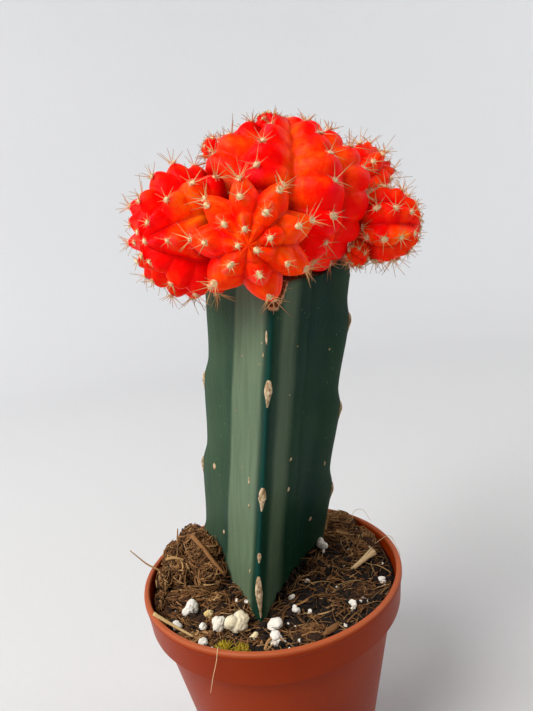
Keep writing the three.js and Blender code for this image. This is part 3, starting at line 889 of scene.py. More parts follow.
# Azimuth, height, width and length of each.
SCARS = [
    (247, 28.5, 0.55, 1.5), (249, 23.2, 0.45, 0.9), (229, 29.5, 0.35, 0.5), (154, 23.2, 1.1, 1.6),
    (169, 9.0, 0.8, 1.1), (256, 10.6, 0.45, 1.0), (299, 31.7, 1.1, 0.7), (299, 25.0, 0.8, 1.0),
    (16, 25.3, 0.6, 0.9), (6, 13.0, 1.1, 1.0), (297, 55.0, 0.4, 0.4), (10, 52.0, 0.4, 0.5),
    (255, 53.0, 0.3, 0.4), (286, 46.0, 0.35, 0.4), (256, 57.0, 0.3, 0.4), (90, 30, 0.9, 1.3),
    (260, 58.6, 0.7, 2.4), (258, 55.2, 0.35, 0.8), (75, 44, 0.6, 0.8), (110, 18, 0.7, 0.7),
    (50, 36, 0.5, 0.9), (200, 40, 0.35, 0.45), (215, 52, 0.3, 0.4),
]
centres, turns_of, sizes = [], [], []
for azimuth, height, width, tall in SCARS:
    seat, outward = on_stem(azimuth, height)
    side = np.cross([0, 0, 1], outward)
    side /= np.linalg.norm(side)
    centres.append(on_plant(seat))
    turns_of.append(LEAN @ np.column_stack([side, np.cross(outward, side), outward]))
    sizes.append((width / 2 * MM, tall / 2 * MM, SCAR_THICKNESS * MM))
scars = lump_mesh("stem_scars", centres, turns_of, sizes, 0.12, subdivisions=3, seed=4)
hand_over(scars, CORK, "stem_skin")
print("areoles on the stem:", len(drops), "scars:", len(SCARS))

# %% [markdown]
# ## The scion and its offsets
#
# Each body of the red plant is a globe with eight ribs, or with five or six when it is young. A rib is a row
# of bumps, the tubercles, and each bump has a spiny areole at its upper end, just under the crease to the
# next. The ribs aren't evenly spaced, because they grew in turn. Every body is written as a few numbers.
#
# - `at` is the azimuth, elevation and distance in mm of its centre, and `faces` is where its tip points.
# - `radius` is in mm, and `flat`, `depth` and `bump` are shares of it: height, valleys and tubercles.
# - `ribs` gives each rib's azimuth, `starts` the angle from the tip to its first areole, `pitch` the step.
# - `amber` is how orange the flesh is, `spine` the longest spine in mm, `fresh` how young the spines are.

# %% Bodies of the head
RING_RIBS = (2, 47, 92, 137, 180, 222, 268, 314)
BUD_RIBS = (10, 70, 130, 190, 250, 310)
BUD_STARTS = (14, 30, 14, 30, 14, 30)
SIDE_STARTS = (10, 24, 12, 25, 9, 20, 12, 22)
LOW_STARTS = (20, 8, 20, 9, 22, 12, 18, 8)
BODIES = {
    "scion": dict(at=(0, 0, 0), faces=(0, 90), radius=15.4, flat=0.9, depth=0.17, bump=0.085, amber=-0.04,
                  round=0.42, seat=0.2, valley=0.28, sharp=0.55, shoulder=0.88,
                  ribs=(26, 68, 113, 160, 205, 247, 298, 341), starts=(4, 14, 6, 12, 8, 15, 4, 12),
                  pitch=18.5, spine=3.5, fresh=0.25),
    "offset_left": dict(at=(195, -21, 18.2), faces=(219, -7), radius=11.5, flat=0.9, depth=0.22, bump=0.13,
                        amber=0.1, ribs=(2, 49, 94, 139, 184, 216, 250, 314),
                        starts=LOW_STARTS, pitch=25, spine=3.6, fresh=0.5),
    "offset_front": dict(at=(251, -19.3, 19.2), faces=(263, 0), radius=9.2, flat=0.87, depth=0.23,
                         bump=0.26, amber=0.4, round=0.22, seat=0.3,
                         ribs=(16, 57, 97, 135, 173, 223, 286, 331),
                         starts=(20, 33, 14, 28, 9, 23, 27, 9), pitch=31, spine=3.4, fresh=0.9),
    "offset_right": dict(at=(0, -11, 19.9), faces=(347, 4), radius=7.2, flat=0.92, depth=0.22, bump=0.1,
                         amber=0.35, ribs=(6, 51, 96, 141, 186, 229, 272, 315),
                         starts=SIDE_STARTS, pitch=27, spine=3.4, fresh=0.6),
    "offset_upper_right": dict(at=(30, 15.5, 19.9), faces=(32, 36), radius=6.1, flat=0.95, depth=0.22,
                               bump=0.13, amber=0.3, ribs=RING_RIBS, starts=SIDE_STARTS, pitch=28,
                               spine=3.6, fresh=0.6),
    "offset_low_right": dict(at=(347, -32, 17.2), faces=(342, -29), radius=2.4, flat=0.9, depth=0.2,
                             bump=0.16, amber=0.5, ribs=(2, 74, 146, 218, 290), starts=(8, 24, 10, 26, 20),
                             pitch=36, spine=1.8, fresh=0.9),
    "offset_back_left": dict(at=(140, -19, 19), faces=(135, -8), radius=8.3, flat=0.9, depth=0.24, bump=0.1,
                             amber=0.35, ribs=RING_RIBS, starts=LOW_STARTS, pitch=27,
                             spine=4, fresh=0.5),
    "offset_back_right": dict(at=(70, -21, 17.6), faces=(71, -9), radius=7.3, flat=0.9, depth=0.24, bump=0.1,
                              amber=0.3, ribs=RING_RIBS, starts=SIDE_STARTS, pitch=28,
                              spine=3.8, fresh=0.5),
    "bud_top": dict(at=(222, 69, 13.3), faces=(202, 69), radius=2.1, flat=0.9, depth=0.2, bump=0.2,
                    amber=0.05, ribs=BUD_RIBS, starts=BUD_STARTS, pitch=38, spine=1.3, fresh=0.8),
    "bud_left": dict(at=(173, 32, 15.4), faces=(173, 29), radius=2.1, flat=0.9, depth=0.2, bump=0.2,
                     amber=0.1, ribs=BUD_RIBS, starts=BUD_STARTS, pitch=38, spine=1.5, fresh=0.8),
}
# What a body has when its own `round`, `seat`, `valley` or `sharp` isn't given.
EDGE_ROUNDING = 0.18
SEAT = 0.34
VALLEY_AMBER = -0.18
SHARP = 0.85


def body_centre(body):
    """The centre of a body in the head's frame, in millimetres."""
    azimuth, elevation, reach = body["at"]
    return direction(azimuth, elevation) * reach


def body_shape(body, azimuth, polar):
    """A point of a body in its own frame, in mm, with its closeness to a crest and its bump."""
    ribs = np.array(sorted(body["ribs"]), dtype=float)
    order = np.argsort(body["ribs"])
    starts = np.array(body["starts"], dtype=float)[order]
    gaps = (np.roll(ribs, -1) - ribs) % 360
    azimuth = np.asarray(azimuth, dtype=float) % 360
    polar = np.asarray(polar, dtype=float)
    before = (np.searchsorted(ribs, azimuth, side="right") - 1) % len(ribs)
    into = (azimuth - ribs[before]) % 360
    half = gaps[before] / 2
    nearest = np.where(into > half, (before + 1) % len(ribs), before)
    away = np.clip(np.minimum(into, gaps[before] - into) / half, 0, 1)
    soft = body.get("round", EDGE_ROUNDING)
    slope = (np.sqrt(away ** 2 + soft ** 2) - soft) / (math.sqrt(1 + soft ** 2) - soft)
    within = ((polar - starts[nearest]) / body["pitch"] + body.get("seat", SEAT)) % 1
    bump = np.sin(np.pi * within) ** 0.7
    young = np.clip(polar / 28, 0, 1) * np.clip((175 - polar) / 30, 0, 1)
    girth = np.sin(np.radians(polar))
    deep = body["depth"] * np.clip(girth * 1.5, 0, 1) * (gaps[before] / 45) ** 0.4
    swell = body["bump"] * young * (bump - 0.6) * (1 - away) ** body.get("sharp", SHARP)
    reach = body["radius"] * (1 - deep * slope + swell)
    turn = np.radians(azimuth)
    tall = np.cos(np.radians(polar))
    tall = np.sign(tall) * np.abs(tall) ** body.get("shoulder", 1.0)
    point = np.stack([reach * girth * np.cos(turn), reach * girth * np.sin(turn),
                      reach * body["flat"] * tall], axis=-1)
    return point, 1 - away, bump


# %% [markdown]
# The globe starts as a UV sphere. Its vertices are moved onto the ribs, and slow noise is added so that no
# two ribs are alike. The scion's underside is cut flat, because that is where it is grafted on. Every vertex
# is also told how close it is to a neighbouring body, for the shade painted dark red between two bodies.

# %% Globes
SEGMENTS = {"scion": (200, 120), "offset_left": (176, 104), "offset_front": (176, 104)}
SMALL_SEGMENTS = (120, 72)
BUD_SEGMENTS = (72, 40)
BUD_RADIUS = 3
NOOK_DEPTH = 1.8
BUD_NOOK = 0.25
UNDERSIDE = GRAFT_HEIGHT - HEAD_HEIGHT
# Where the flesh is thin and glows orange: the body, the place on the plant, its size in mm and strength.
GLOW = [("offset_left", (221.5, -9, 19.3), 3.0, 0.95), ("offset_left", (216, 1, 22.1), 2.4, 0.5),
        ("offset_right", (341, -13, 23.5), 2.8, 0.6), ("scion", (274, 60, 13.1), 2.6, 0.55),
        ("scion", (272, 30, 12.8), 2.6, 0.5), ("scion", (272, 11, 12.8), 2.6, 0.4),
        ("scion", (220, 9, 13.9), 2.4, 0.6), ("scion", (318, 38, 13.8), 2.6, 0.35)]


def make_body(name, body):
    """One globe of red flesh."""
    if body["radius"] < BUD_RADIUS:
        segments, rings = BUD_SEGMENTS
    else:
        segments, rings = SEGMENTS.get(name, SMALL_SEGMENTS)
    globe = new_piece(name + "_flesh", bpy.ops.mesh.primitive_uv_sphere_add, segments=segments,
                      ring_count=rings, radius=1)
    raw = points_of(globe)
    azimuth = np.degrees(np.arctan2(raw[:, 1], raw[:, 0]))
    polar = np.degrees(np.arccos(np.clip(raw[:, 2], -1, 1)))
    local, crest, bump = body_shape(body, azimuth, polar)
    slow = wander(local, body["radius"] * 0.45, body["radius"])
    quick = wander(local, 1.6, 7.0)
    outward = raw / np.linalg.norm(raw, axis=1, keepdims=True)
    local = local + outward * (0.035 * body["radius"] * slow + 0.1 * quick)[:, None]
    in_head = local @ turn_to(direction(*body["faces"])).T + body_centre(body)
    if name == "scion":
        in_head[:, 2] = np.maximum(in_head[:, 2], UNDERSIDE - 0.05)
    set_points(globe, on_plant(in_head, HEAD_HEIGHT))
    amber = body["amber"] + body.get("valley", VALLEY_AMBER) * (1 - crest) + 0.12 * slow
    for glowing, place, size, strength in GLOW:
        if glowing == name:
            far = np.linalg.norm(in_head - direction(*place[:2]) * place[2], axis=1) / size
            amber = amber + strength * np.exp(-far ** 2)
    # Painted shade: how deep each vertex lies between this body and another.
    painted_nook_shade = np.zeros(len(raw))
    for other_name, other in BODIES.items():
        if other_name != name:
            gap = np.linalg.norm(in_head - body_centre(other), axis=1) - 0.96 * other["radius"]
            painted_nook_shade = np.maximum(painted_nook_shade, np.clip(1 - gap / NOOK_DEPTH, 0, 1))
    set_attribute(globe, "painted_nook_shade", painted_nook_shade * (BUD_NOOK if body["radius"] < BUD_RADIUS else 1))
    set_attribute(globe, "crest", crest * (0.25 + 0.75 * bump))
    set_attribute(globe, "amber", amber)
    smooth(globe)
    node = "scion_body" if name == "scion" else name
    hand_over(globe, RED_FLESH, "scion_flesh", node)


for name, body in BODIES.items():
    make_body(name, body)
print("bodies:", len(BODIES))

# %% [markdown]
# ## Areoles
#
# An areole sits at the top of each tubercle. Near a growing tip it is small, with short cream spines that
# stand up like a star. Further down the wool is worn, and the spines are long, brown at the tip, and lean
# away from the tip of the plant. A place inside a neighbouring body gets none.


# %% Where the areoles are
LAST_AREOLE = 158
OUTWARD_SHARE = 0.9
INSIDE_SHARE = 0.93
STEM_TOP_REACH = 12
GROWN_AT = {"scion": 45}
OFFSET_GROWN_AT = 75


def areole_sites(name, body, dice):
    """Each areole: its place, outward direction and downward direction in the head's frame, and its age."""
    facing = turn_to(direction(*body["faces"]))
    sites = []
    for rib, start in zip(body["ribs"], body["starts"]):
        polar = start
        while polar < LAST_AREOLE:
            seat = [body_shape(body, np.array(rib + a), np.array(polar + p))[0]
                    for a, p in ((0, 0), (0.7, 0), (0, 0.7), (-0.7, 0), (0, -0.7))]
            outward = np.cross(seat[2] - seat[4], seat[1] - seat[3])
            outward /= np.linalg.norm(outward)
            radial = seat[0] / np.linalg.norm(seat[0])
            outward = outward + OUTWARD_SHARE * radial
            outward /= np.linalg.norm(outward)
            down = (seat[2] - seat[4]) / np.linalg.norm(seat[2] - seat[4])
            place = facing @ seat[0] + body_centre(body)
            hidden = name == "scion" and place[2] < UNDERSIDE + 0.8
            on_top_of_stem = place[2] < UNDERSIDE + 0.5 and np.hypot(*place[:2]) < STEM_TOP_REACH
            for other_name, other in BODIES.items():
                if other_name != name:
                    reach = np.linalg.norm(place - body_centre(other))
                    hidden = hidden or reach < other["radius"] * INSIDE_SHARE
            age = min(1.0, polar / GROWN_AT.get(name, OFFSET_GROWN_AT))
            if not hidden and not on_top_of_stem:
                sites.append((place, facing @ outward, facing @ down, age))
            polar += body["pitch"] * dice.uniform(0.97, 1.03)
    return sites


FAN_BEND = 0.18
FAN_STEPS = 5


def fan(place, outward, down, count, length, spread, lean, root, dice):
    """Curved spines from one areole, each a path of a few points, in the head's frame."""
    side = np.cross(outward, down)
    side /= np.linalg.norm(side)
    middle = outward + lean * down
    middle /= np.linalg.norm(middle)
    across = np.cross(side, middle)
    paths, roots = [], []
    first = dice.uniform(0, 2 * math.pi)
    for index in range(count):
        around = first + 2 * math.pi * (index + dice.uniform(-0.3, 0.3)) / count
        tilt = math.radians(spread * dice.uniform(0.7, 1.15))
        away = math.cos(around) * side + math.sin(around) * across
        heading = math.cos(tilt) * middle + math.sin(tilt) * away
        reach = length * dice.uniform(0.7, 1.2)
        curl = dice.uniform(-0.5, 1.0) * FAN_BEND * reach
        steps = np.linspace(0, 1, FAN_STEPS)[:, None]
        paths.append(place - 0.15 * outward + heading * reach * steps - outward * curl * steps ** 2)
        roots.append(root * dice.uniform(0.8, 1.15))
    return paths, roots


# %% [markdown]
# Wool and spines are built body by body. The old spines on the scion are darker than the young ones on the
# offsets, so each spine gets a tint from its areole's age.

# %% Wool and spines
dice = np.random.default_rng(11)
CLUSTERS = {"scion": range(1, 9), "offset_left": range(9, 13), "offset_front": range(13, 17)}
WOOL_HAIRS = 18
GROWN_AGE = 0.4
SPINE_ROOT = 0.092
SPINE_TIP = 0.03
HAIR_ROOT = 0.055
HAIR_TIP = 0.02
total = 0
for name, body in BODIES.items():
    small = body["radius"] < BUD_RADIUS
    cushions, turns_of, sizes, wool_tints = [], [], [], []
    spines, spine_roots, spine_tints, hairs, hair_tints = [], [], [], [], []
    for place, outward, down, age in areole_sites(name, body, dice):
        worn = age * (1 - body["fresh"])
        width = (0.32 + 0.15 * age) * dice.uniform(0.85, 1.15) * (0.6 if small else 1)
        cushions.append(on_plant(place + 0.1 * outward, HEAD_HEIGHT))
        side = np.cross(down, outward)
        turns_of.append(LEAN @ np.column_stack([side / np.linalg.norm(side), down, outward]))
        sizes.append(np.array([width, width * 1.15, width * 0.5]) * MM)
        wool_tints.append(min(1, dice.uniform(0, 0.35) + 0.6 * worn))
        length = body["spine"] * (0.26 + 0.74 * age ** 1.1)
        grown = age > GROWN_AGE
        count = int(dice.integers(5 if grown else 6, 9))
        spread = 52 if grown else 62
        lean = 0.1 + 0.5 * age * body["fresh"]
        paths, roots = fan(place, outward, down, count, length, spread, lean, SPINE_ROOT, dice)
        spines += [on_plant(path, HEAD_HEIGHT) for path in paths]
        spine_roots += [root * MM for root in roots]
        spine_tints += list(np.clip(worn + dice.uniform(-0.1, 0.45, count), 0, 1))
        paths, _ = fan(place, outward, down, WOOL_HAIRS, width * 2, 68, 0.1, HAIR_ROOT, dice)
        hairs += [on_plant(path, HEAD_HEIGHT) for path in paths]
        hair_tints += [wool_tints[-1]] * WOOL_HAIRS
    total += len(cushions)
    if not cushions:
        continue
    wool = lump_mesh(name + "_wool", cushions, turns_of, sizes, 0.42, tints=wool_tints, seed=3)
    hand_over(wool, WOOL, "spines")
    lint = strand_mesh(name + "_wool_hairs", hairs, HAIR_ROOT * MM, HAIR_TIP * MM, 3, hair_tints)
    hand_over(lint, WOOL, "spines")
    thorns = strand_mesh(name + "_spines", spines, spine_roots, SPINE_TIP * MM, 5, spine_tints)
    hand_over(thorns, SPINE, "spines", *(f"spine_cluster_{n:02d}" for n in CLUSTERS.get(name, ())))
print("areoles on the head:", total)

# %% [markdown]
# ## The soil
#
# The soil is a mix of damp peat, coir and perlite. Its bed is a turned solid with a lumpy top, that rises to
# the back of the pot. Thousands of crumbs and fibres lie on it. They are scattered by a seeded random
# generator, so every run gives the same soil.


# %% Soil bed
SOIL_LEVEL = 46.4
SOIL_RISE = 2.2


def soil_height(x, y):
    """Height of the soil in millimetres, in the pot's frame."""
    rise = np.clip((np.asarray(y) + 8) / 24, 0, 1)
    rise = rise * rise * (3 - 2 * rise) * SOIL_RISE
    return SOIL_LEVEL + rise + 0.3 * np.sin(0.55 * x + 1) * np.cos(0.48 * y - 0.5)


wall_gap = wall_radius(SHOULDER) - WALL - 0.2
band_gap = BAND_FOOT - WALL - 0.15
soil_rings = [(25.5 - 0.5 * ring, SOIL_LEVEL) for ring in range(50)]
soil = turned("soil_bed", [
    (15.2, 2.5), (wall_gap, SHOULDER), (wall_gap, SHOULDER + 1.1), (band_gap, SHOULDER + 1.1),
    (band_gap, SOIL_LEVEL), *soil_rings, (0.3, SOIL_LEVEL)], 160)
ground = points_of(soil) / MM
top = ground[:, 2] > SOIL_LEVEL - 0.1
lumpy = wander(ground * [1, 1, 0], 2.2, 5) * 0.5 + wander(ground * [1, 1, 0], 0.8, 9) * 0.25
ground[top, 2] = (soil_height(ground[:, 0], ground[:, 1]) + lumpy)[top]
set_points(soil, ground * MM)
smooth(soil)
set_attribute(soil, "tint", 0.12 + 0.1 * wander(ground, 4, 2))
hand_over(soil, PEAT, "potting_soil", "soil")
print("soil from", ground[:, 2].min().round(1), "to", ground[:, 2].max().round(1), "mm")


# %% [markdown]
# The crumbs and fibres need places: inside the rim, and outside the stem. A second function says where the
# soil is brown, dry coir, and where it is black peat.


# %% Places on the soil
SOIL_REACH = 25.4
LEAST_BROWN = 0.12
BROWN_AT_LEFT = 0.6
BROWN_AT_BACK = 0.5


def in_stem(x, y, margin):
    """Whether a point at the soil's surface is inside the stem."""
    local = (np.array([x, y, 47.0]) - np.array(STEM_FOOT)) @ LEAN
    azimuth = math.degrees(math.atan2(local[1], local[0]))
    radius, _, _ = stem_section(np.array(azimuth), np.array(local[2]))
    return math.hypot(local[0], local[1]) < float(radius) + margin


def scatter(count, dice, margin=0.3, edge=0.4):
    """Random places on the soil outside the stem."""
    places = []
    while len(places) < count:
        x, y = dice.uniform(-SOIL_REACH, SOIL_REACH, 2)
        if math.hypot(x, y) < SOIL_REACH - edge and not in_stem(x, y, margin):
            places.append((x, y))
    return np.array(places)


def browner(x, y):
    """How much dry brown coir there is: most at the left and at the back, least right of the stem."""
    left = 1 / (1 + np.exp((x + 6) / 3))
    back = 1 / (1 + np.exp(-(y - 6) / 3))
    return np.clip(LEAST_BROWN + BROWN_AT_LEFT * left + BROWN_AT_BACK * back, 0, 0.95)


# %% [markdown]
# Crumbs first: many small, a few large, each a dented ball. The browner places get browner crumbs.

# %% Crumbs
CRUMBS = 2300
dice = np.random.default_rng(21)
places = scatter(CRUMBS, dice)
half_sizes = np.clip(dice.lognormal(-1.1, 0.5, len(places)), 0.14, 0.95)
centres = np.column_stack([places, soil_height(places[:, 0], places[:, 1]) + 0.25 * half_sizes + 0.15]) * MM
turns_of = [random_turn(dice) for _ in places]
sizes = [half * dice.uniform(0.6, 1.25, 3) * MM for half in half_sizes]
brown = browner(places[:, 0], places[:, 1])
tints = np.clip(brown * 0.75 + dice.normal(0, 0.2, len(places)), 0, 1)
crumbs = lump_mesh("soil_crumbs", centres, turns_of, sizes, 0.42, tints=tints, seed=22)
hand_over(crumbs, PEAT, "potting_soil")
print("crumbs:", len(places))


# %% [markdown]
# Loose fibres lie over the crumbs. Each follows a smooth noise that turns its heading, so that neighbours lie
# side by side in swirls, and it stays inside the rim.


# %% Fibres
FIBRE_STEPS = 8


def lying_fibres(name, count, length, thick, seed, tint, brown_only=0.0, flat=0.35, lift=0.35):
    """Curved fibres that lie on the soil, mostly along a slowly turning direction."""
    dice = np.random.default_rng(seed)
    places = scatter(count * 3, dice, 0.5, 1.0)
    chance = browner(places[:, 0], places[:, 1])
    keep = np.where(dice.uniform(0, 1, len(places)) < np.maximum(chance, 1 - brown_only))[0][:count]
    paths = []
    for x, y in places[keep]:
        drift = noise.noise(Vector((x / 7, y / 7, seed)))
        heading = math.pi * (1.3 * drift + dice.normal(0, 0.28))
        reach = dice.uniform(*length)
        curl = dice.normal(0, 0.5) / reach
        steps = np.linspace(-0.5, 0.5, FIBRE_STEPS) * reach
        angle = heading + curl * steps * 2
        xs = x + np.cumsum(np.cos(angle)) * reach / FIBRE_STEPS
        ys = y + np.cumsum(np.sin(angle)) * reach / FIBRE_STEPS
        out = np.maximum(1, np.hypot(xs, ys) / (SOIL_REACH - 0.3))
        xs, ys = xs / out, ys / out
        hump = lift * dice.uniform(0.4, 1.8) + 0.5 * dice.uniform(0, 1) * np.cos(steps / reach * math.pi)
        rise = dice.normal(0, flat) * steps / reach
        paths.append(np.column_stack([xs, ys, soil_height(xs, ys) + hump + rise]) * MM)
    thickness = dice.uniform(*thick, len(paths)) * MM
    tints = np.clip(dice.normal(tint, 0.22, len(paths)), 0, 1)
    return strand_mesh(name, np.array(paths), thickness, thickness * 0.5, 4, tints)


# Name, number, length, thickness, seed, tint, then what differs from the usual lie.
FIBRES = [("fine_coir", 900, (2, 6), (0.05, 0.11), 31, 0.55),
          ("coarse_coir", 520, (3, 8), (0.1, 0.26), 32, 0.55, 0.75),
          ("pale_hairs", 110, (3, 9), (0.04, 0.08), 33, 0.95, 0.0, 0.8, 0.7),
          ("coir_chips", 70, (2, 4.5), (0.3, 0.6), 34, 0.45, 0.9)]
for fibres in FIBRES:
    hand_over(lying_fibres(*fibres), COIR, "coir_fibre")
print("loose fibres:", sum(fibres[1] for fibres in FIBRES))


# %% [markdown]
# The coir is matted into mounds, and one big clump stands up behind the stem at the left. A mound has a
# rough dark core, and fibres that follow its surface in sheaves. Its lower part is sunk into the soil or into
# the mounds beside it.


# %% A mound of coir
CORE_SHARE = 0.88
FRAYED = 0.3


def coir_mound(name, centre, half, fibres, seed, tint, *nodes):
    """A matted mound. Its centre and half sizes are in millimetres."""
    dice = np.random.default_rng(seed)
    centre, half = np.array(centre, dtype=float), np.array(half, dtype=float)
    sizes = [half * CORE_SHARE * MM]
    core = lump_mesh(name + "_core", [centre * MM], [np.eye(3)], sizes, 0.1, 5, [tint], seed)
    points = points_of(core) / MM
    rough = wander(points, 2.2, seed) + 0.8 * wander(points, 0.8, 3) + 0.35 * wander(points, 0.3, 6)
    away = points - centre
    away /= np.linalg.norm(away, axis=1, keepdims=True)
    shaped = points + away * rough[:, None] * 0.16 * half.min()
    shaped[:, :2] /= np.maximum(1, np.hypot(shaped[:, 0], shaped[:, 1]) / (SOIL_REACH + 0.2))[:, None]
    set_points(core, shaped * MM)
    hand_over(core, PEAT, "coir_fibre", *nodes)
    paths = []
    for _ in range(fibres):
        azimuth, elevation = dice.uniform(0, 360), dice.uniform(0, 85)
        swirl = noise.noise(Vector(direction(azimuth, elevation)) * 1.6 + Vector((0, 0, seed)))
        sheaf = math.radians(150 * swirl + dice.normal(0, 26))
        sweep_angle = dice.uniform(12, 48)
        level = max(0.3, math.cos(math.radians(elevation)))
        fray = dice.uniform(0, 0.22) if dice.uniform() < FRAYED else 0.03
        path = []
        for step in np.linspace(-0.5, 0.5, FIBRE_STEPS):
            turn = azimuth + sweep_angle * step * math.cos(sheaf) / level
            rise = elevation + sweep_angle * step * math.sin(sheaf)
            path.append(centre + direction(turn, rise) * half * (0.97 + fray * (step + 0.5) ** 2))
        path = np.array(path)
        path += 0.3 * dice.normal(size=(1, 3)) * [1, 1, 0.4]
        path[:, 2] = np.maximum(path[:, 2], soil_height(path[:, 0], path[:, 1]) + 0.1)
        path[:, :2] /= np.maximum(1, np.hypot(path[:, 0], path[:, 1]) / SOIL_REACH)[:, None]
        paths.append(path * MM)
    thickness = np.clip(dice.lognormal(-2.1, 0.5, fibres), 0.05, 0.42) * MM
    shades = np.clip(dice.normal(tint, 0.24, fibres), 0, 1)
    mat = strand_mesh(name + "_fibres", np.array(paths), thickness, thickness * 0.5, 4, shades)
    hand_over(mat, COIR, "coir_fibre")


# %% Clump and mounds
clump_low, clump_high = in_mm(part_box("coir_clump"))
clump_middle = (clump_low + clump_high) / 2
clump_half = (clump_high - clump_low) / 2
coir_mound("coir_clump", [clump_middle[0] + 0.6, clump_middle[1] + 1, clump_low[2] + 0.5],
           [clump_half[0] * 0.9, clump_half[1] * 0.82, clump_high[2] - clump_low[2] - 1.2], 620, 41, 0.5,
           "coir_clump")
# Centre, half sizes, number of fibres and tint of each.
MOUNDS = [
    ((-20.6, 5.2, 47.6), (4.2, 5.4, 3.6), 300, 0.7),
    ((-13.4, 2.0, 47.2), (3.8, 4.6, 4.0), 300, 0.6),
    ((-18.2, -3.6, 46.3), (6.4, 3.8, 2.2), 330, 0.42),
    ((-12.2, -6.2, 46.2), (3.2, 3.4, 1.9), 160, 0.5),
    ((14.5, 14.2, 48.0), (7.4, 6.2, 1.9), 420, 0.7),
    ((2.5, 21, 48.2), (6.5, 3.2, 2.0), 200, 0.65),
    ((20.5, 5.5, 47.0), (3.8, 5.0, 1.8), 220, 0.6),
    ((5.6, -19.6, 46.2), (3.6, 2.6, 1.6), 120, 0.5),
    ((16.5, -9.5, 46.2), (4.2, 3.4, 1.3), 150, 0.25),
    ((-17.0, -16.2, 46.0), (4.6, 2.4, 1.3), 150, 0.8),
    ((-19.5, 13.6, 47.6), (3.6, 4.4, 2.6), 180, 0.6),
    ((10.5, 1.6, 46.8), (3.0, 3.2, 1.4), 110, 0.45),
    ((-16.2, 10.6, 49.6), (4.4, 4.2, 4.8), 300, 0.5),
    ((16.2, 15.4, 48.8), (6.2, 4.2, 2.9), 300, 0.75),
    ((-22.6, 3.6, 49.6), (2.1, 1.7, 1.3), 14, 0.0),
    ((-22.2, 9.4, 49.4), (3.2, 4.2, 3.3), 240, 0.65),
    ((-18.6, 15.4, 49.8), (4.0, 4.0, 3.6), 260, 0.55),
    ((-23.6, 2.2, 48.6), (1.9, 3.6, 2.3), 160, 0.7),
    ((-24.2, -4.2, 46.8), (1.8, 4.2, 1.7), 130, 0.45),
    ((23.2, 8.4, 47.6), (2.2, 5.6, 2.0), 160, 0.65),
]
for number, (centre, half, fibres, tint) in enumerate(MOUNDS, 1):
    coir_mound(f"coir_mound_{number:02d}", centre, half, fibres, 42 + number, tint)
print("mounds:", len(MOUNDS), "and the clump")

# %% [markdown]
# ## Perlite
#
# Perlite is volcanic glass, popped like corn. A grain is a few bubbles grown together, white, rough and
# full of pits. A ball is pushed out to a handful of bubbles round its middle, then dented.


# %% A grain of perlite
GRAIN_MIDDLE = 0.55
BUBBLE_REACH = 0.5


def perlite_grain(name, centre, half, bubbles, tint, seed):
    """Bubbles grown together. The centre and the half sizes are in millimetres."""
    dice = np.random.default_rng(seed)
    grain = new_piece(name, bpy.ops.mesh.primitive_ico_sphere_add, subdivisions=5, radius=1)
    raw = points_of(grain)
    reach = np.full(len(raw), GRAIN_MIDDLE)
    for _ in range(bubbles):
        offset = dice.normal(size=3)
        offset *= BUBBLE_REACH / np.linalg.norm(offset)
        size = dice.uniform(0.42, 0.6)
        along = raw @ offset
        inside = size ** 2 - offset @ offset + along ** 2
        reach = np.maximum(reach, along + np.sqrt(np.maximum(inside, 0)))
    reach = reach + 0.08 * wander(raw, 0.35, seed) + 0.035 * wander(raw, 0.12, seed)
    shaped = raw * reach[:, None]
    shaped /= np.abs(shaped).max(axis=0)
    set_points(grain, (shaped * half + centre) * MM)
    smooth(grain)
    stain = wander(shaped, 0.8, seed + 3)
    set_attribute(grain, "tint", np.clip(tint + 0.35 * tint * stain, 0, 1))
    return grain


# %% Grains and specks
GRAINS = 16
GRAIN_TINT = 0.1
TINTED = {2: 0.95, 6: 0.6, 8: 0.7, 5: 0.35, 9: 0.15}
for number in range(1, GRAINS + 1):
    low, high = in_mm(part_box(f"perlite_{number:02d}"))
    half = (high - low) / 2 * [1.12, 1.12, 1]
    half[2] = max(half[2] * 1.3, half[:2].mean() * 0.85)
    centre = (low + high) / 2
    centre[2] = low[2] + half[2] * 0.72
    grain = perlite_grain(f"perlite_grain_{number:02d}", centre, half, 3 + number % 3,
                          TINTED.get(number, GRAIN_TINT), number)
    hand_over(grain, PERLITE, "perlite", f"perlite_{number:02d}")

SPECKS = 46
dice = np.random.default_rng(51)
places = scatter(SPECKS, dice, 0.6, 1.0)
half_sizes = dice.uniform(0.2, 0.55, len(places))
centres = np.column_stack([places, soil_height(places[:, 0], places[:, 1]) + 0.5]) * MM
specks = lump_mesh("perlite_specks", centres, [random_turn(dice) for _ in places],
                   [half * dice.uniform(0.7, 1.2, 3) * MM for half in half_sizes], 0.3,
                   subdivisions=3, tints=dice.uniform(0, 0.4, len(places)), seed=52)
hand_over(specks, PERLITE, "perlite")
print("perlite grains:", GRAINS, "and", len(places), "specks")

# %% [markdown]
# ## Moss, straws and twigs
#
# Dry moss grows in two tufts by the rim: each is a fan of short leafy strands. The straws, the fibre over
# the rim and the fine hairs follow a few points each, smoothed into a curve.

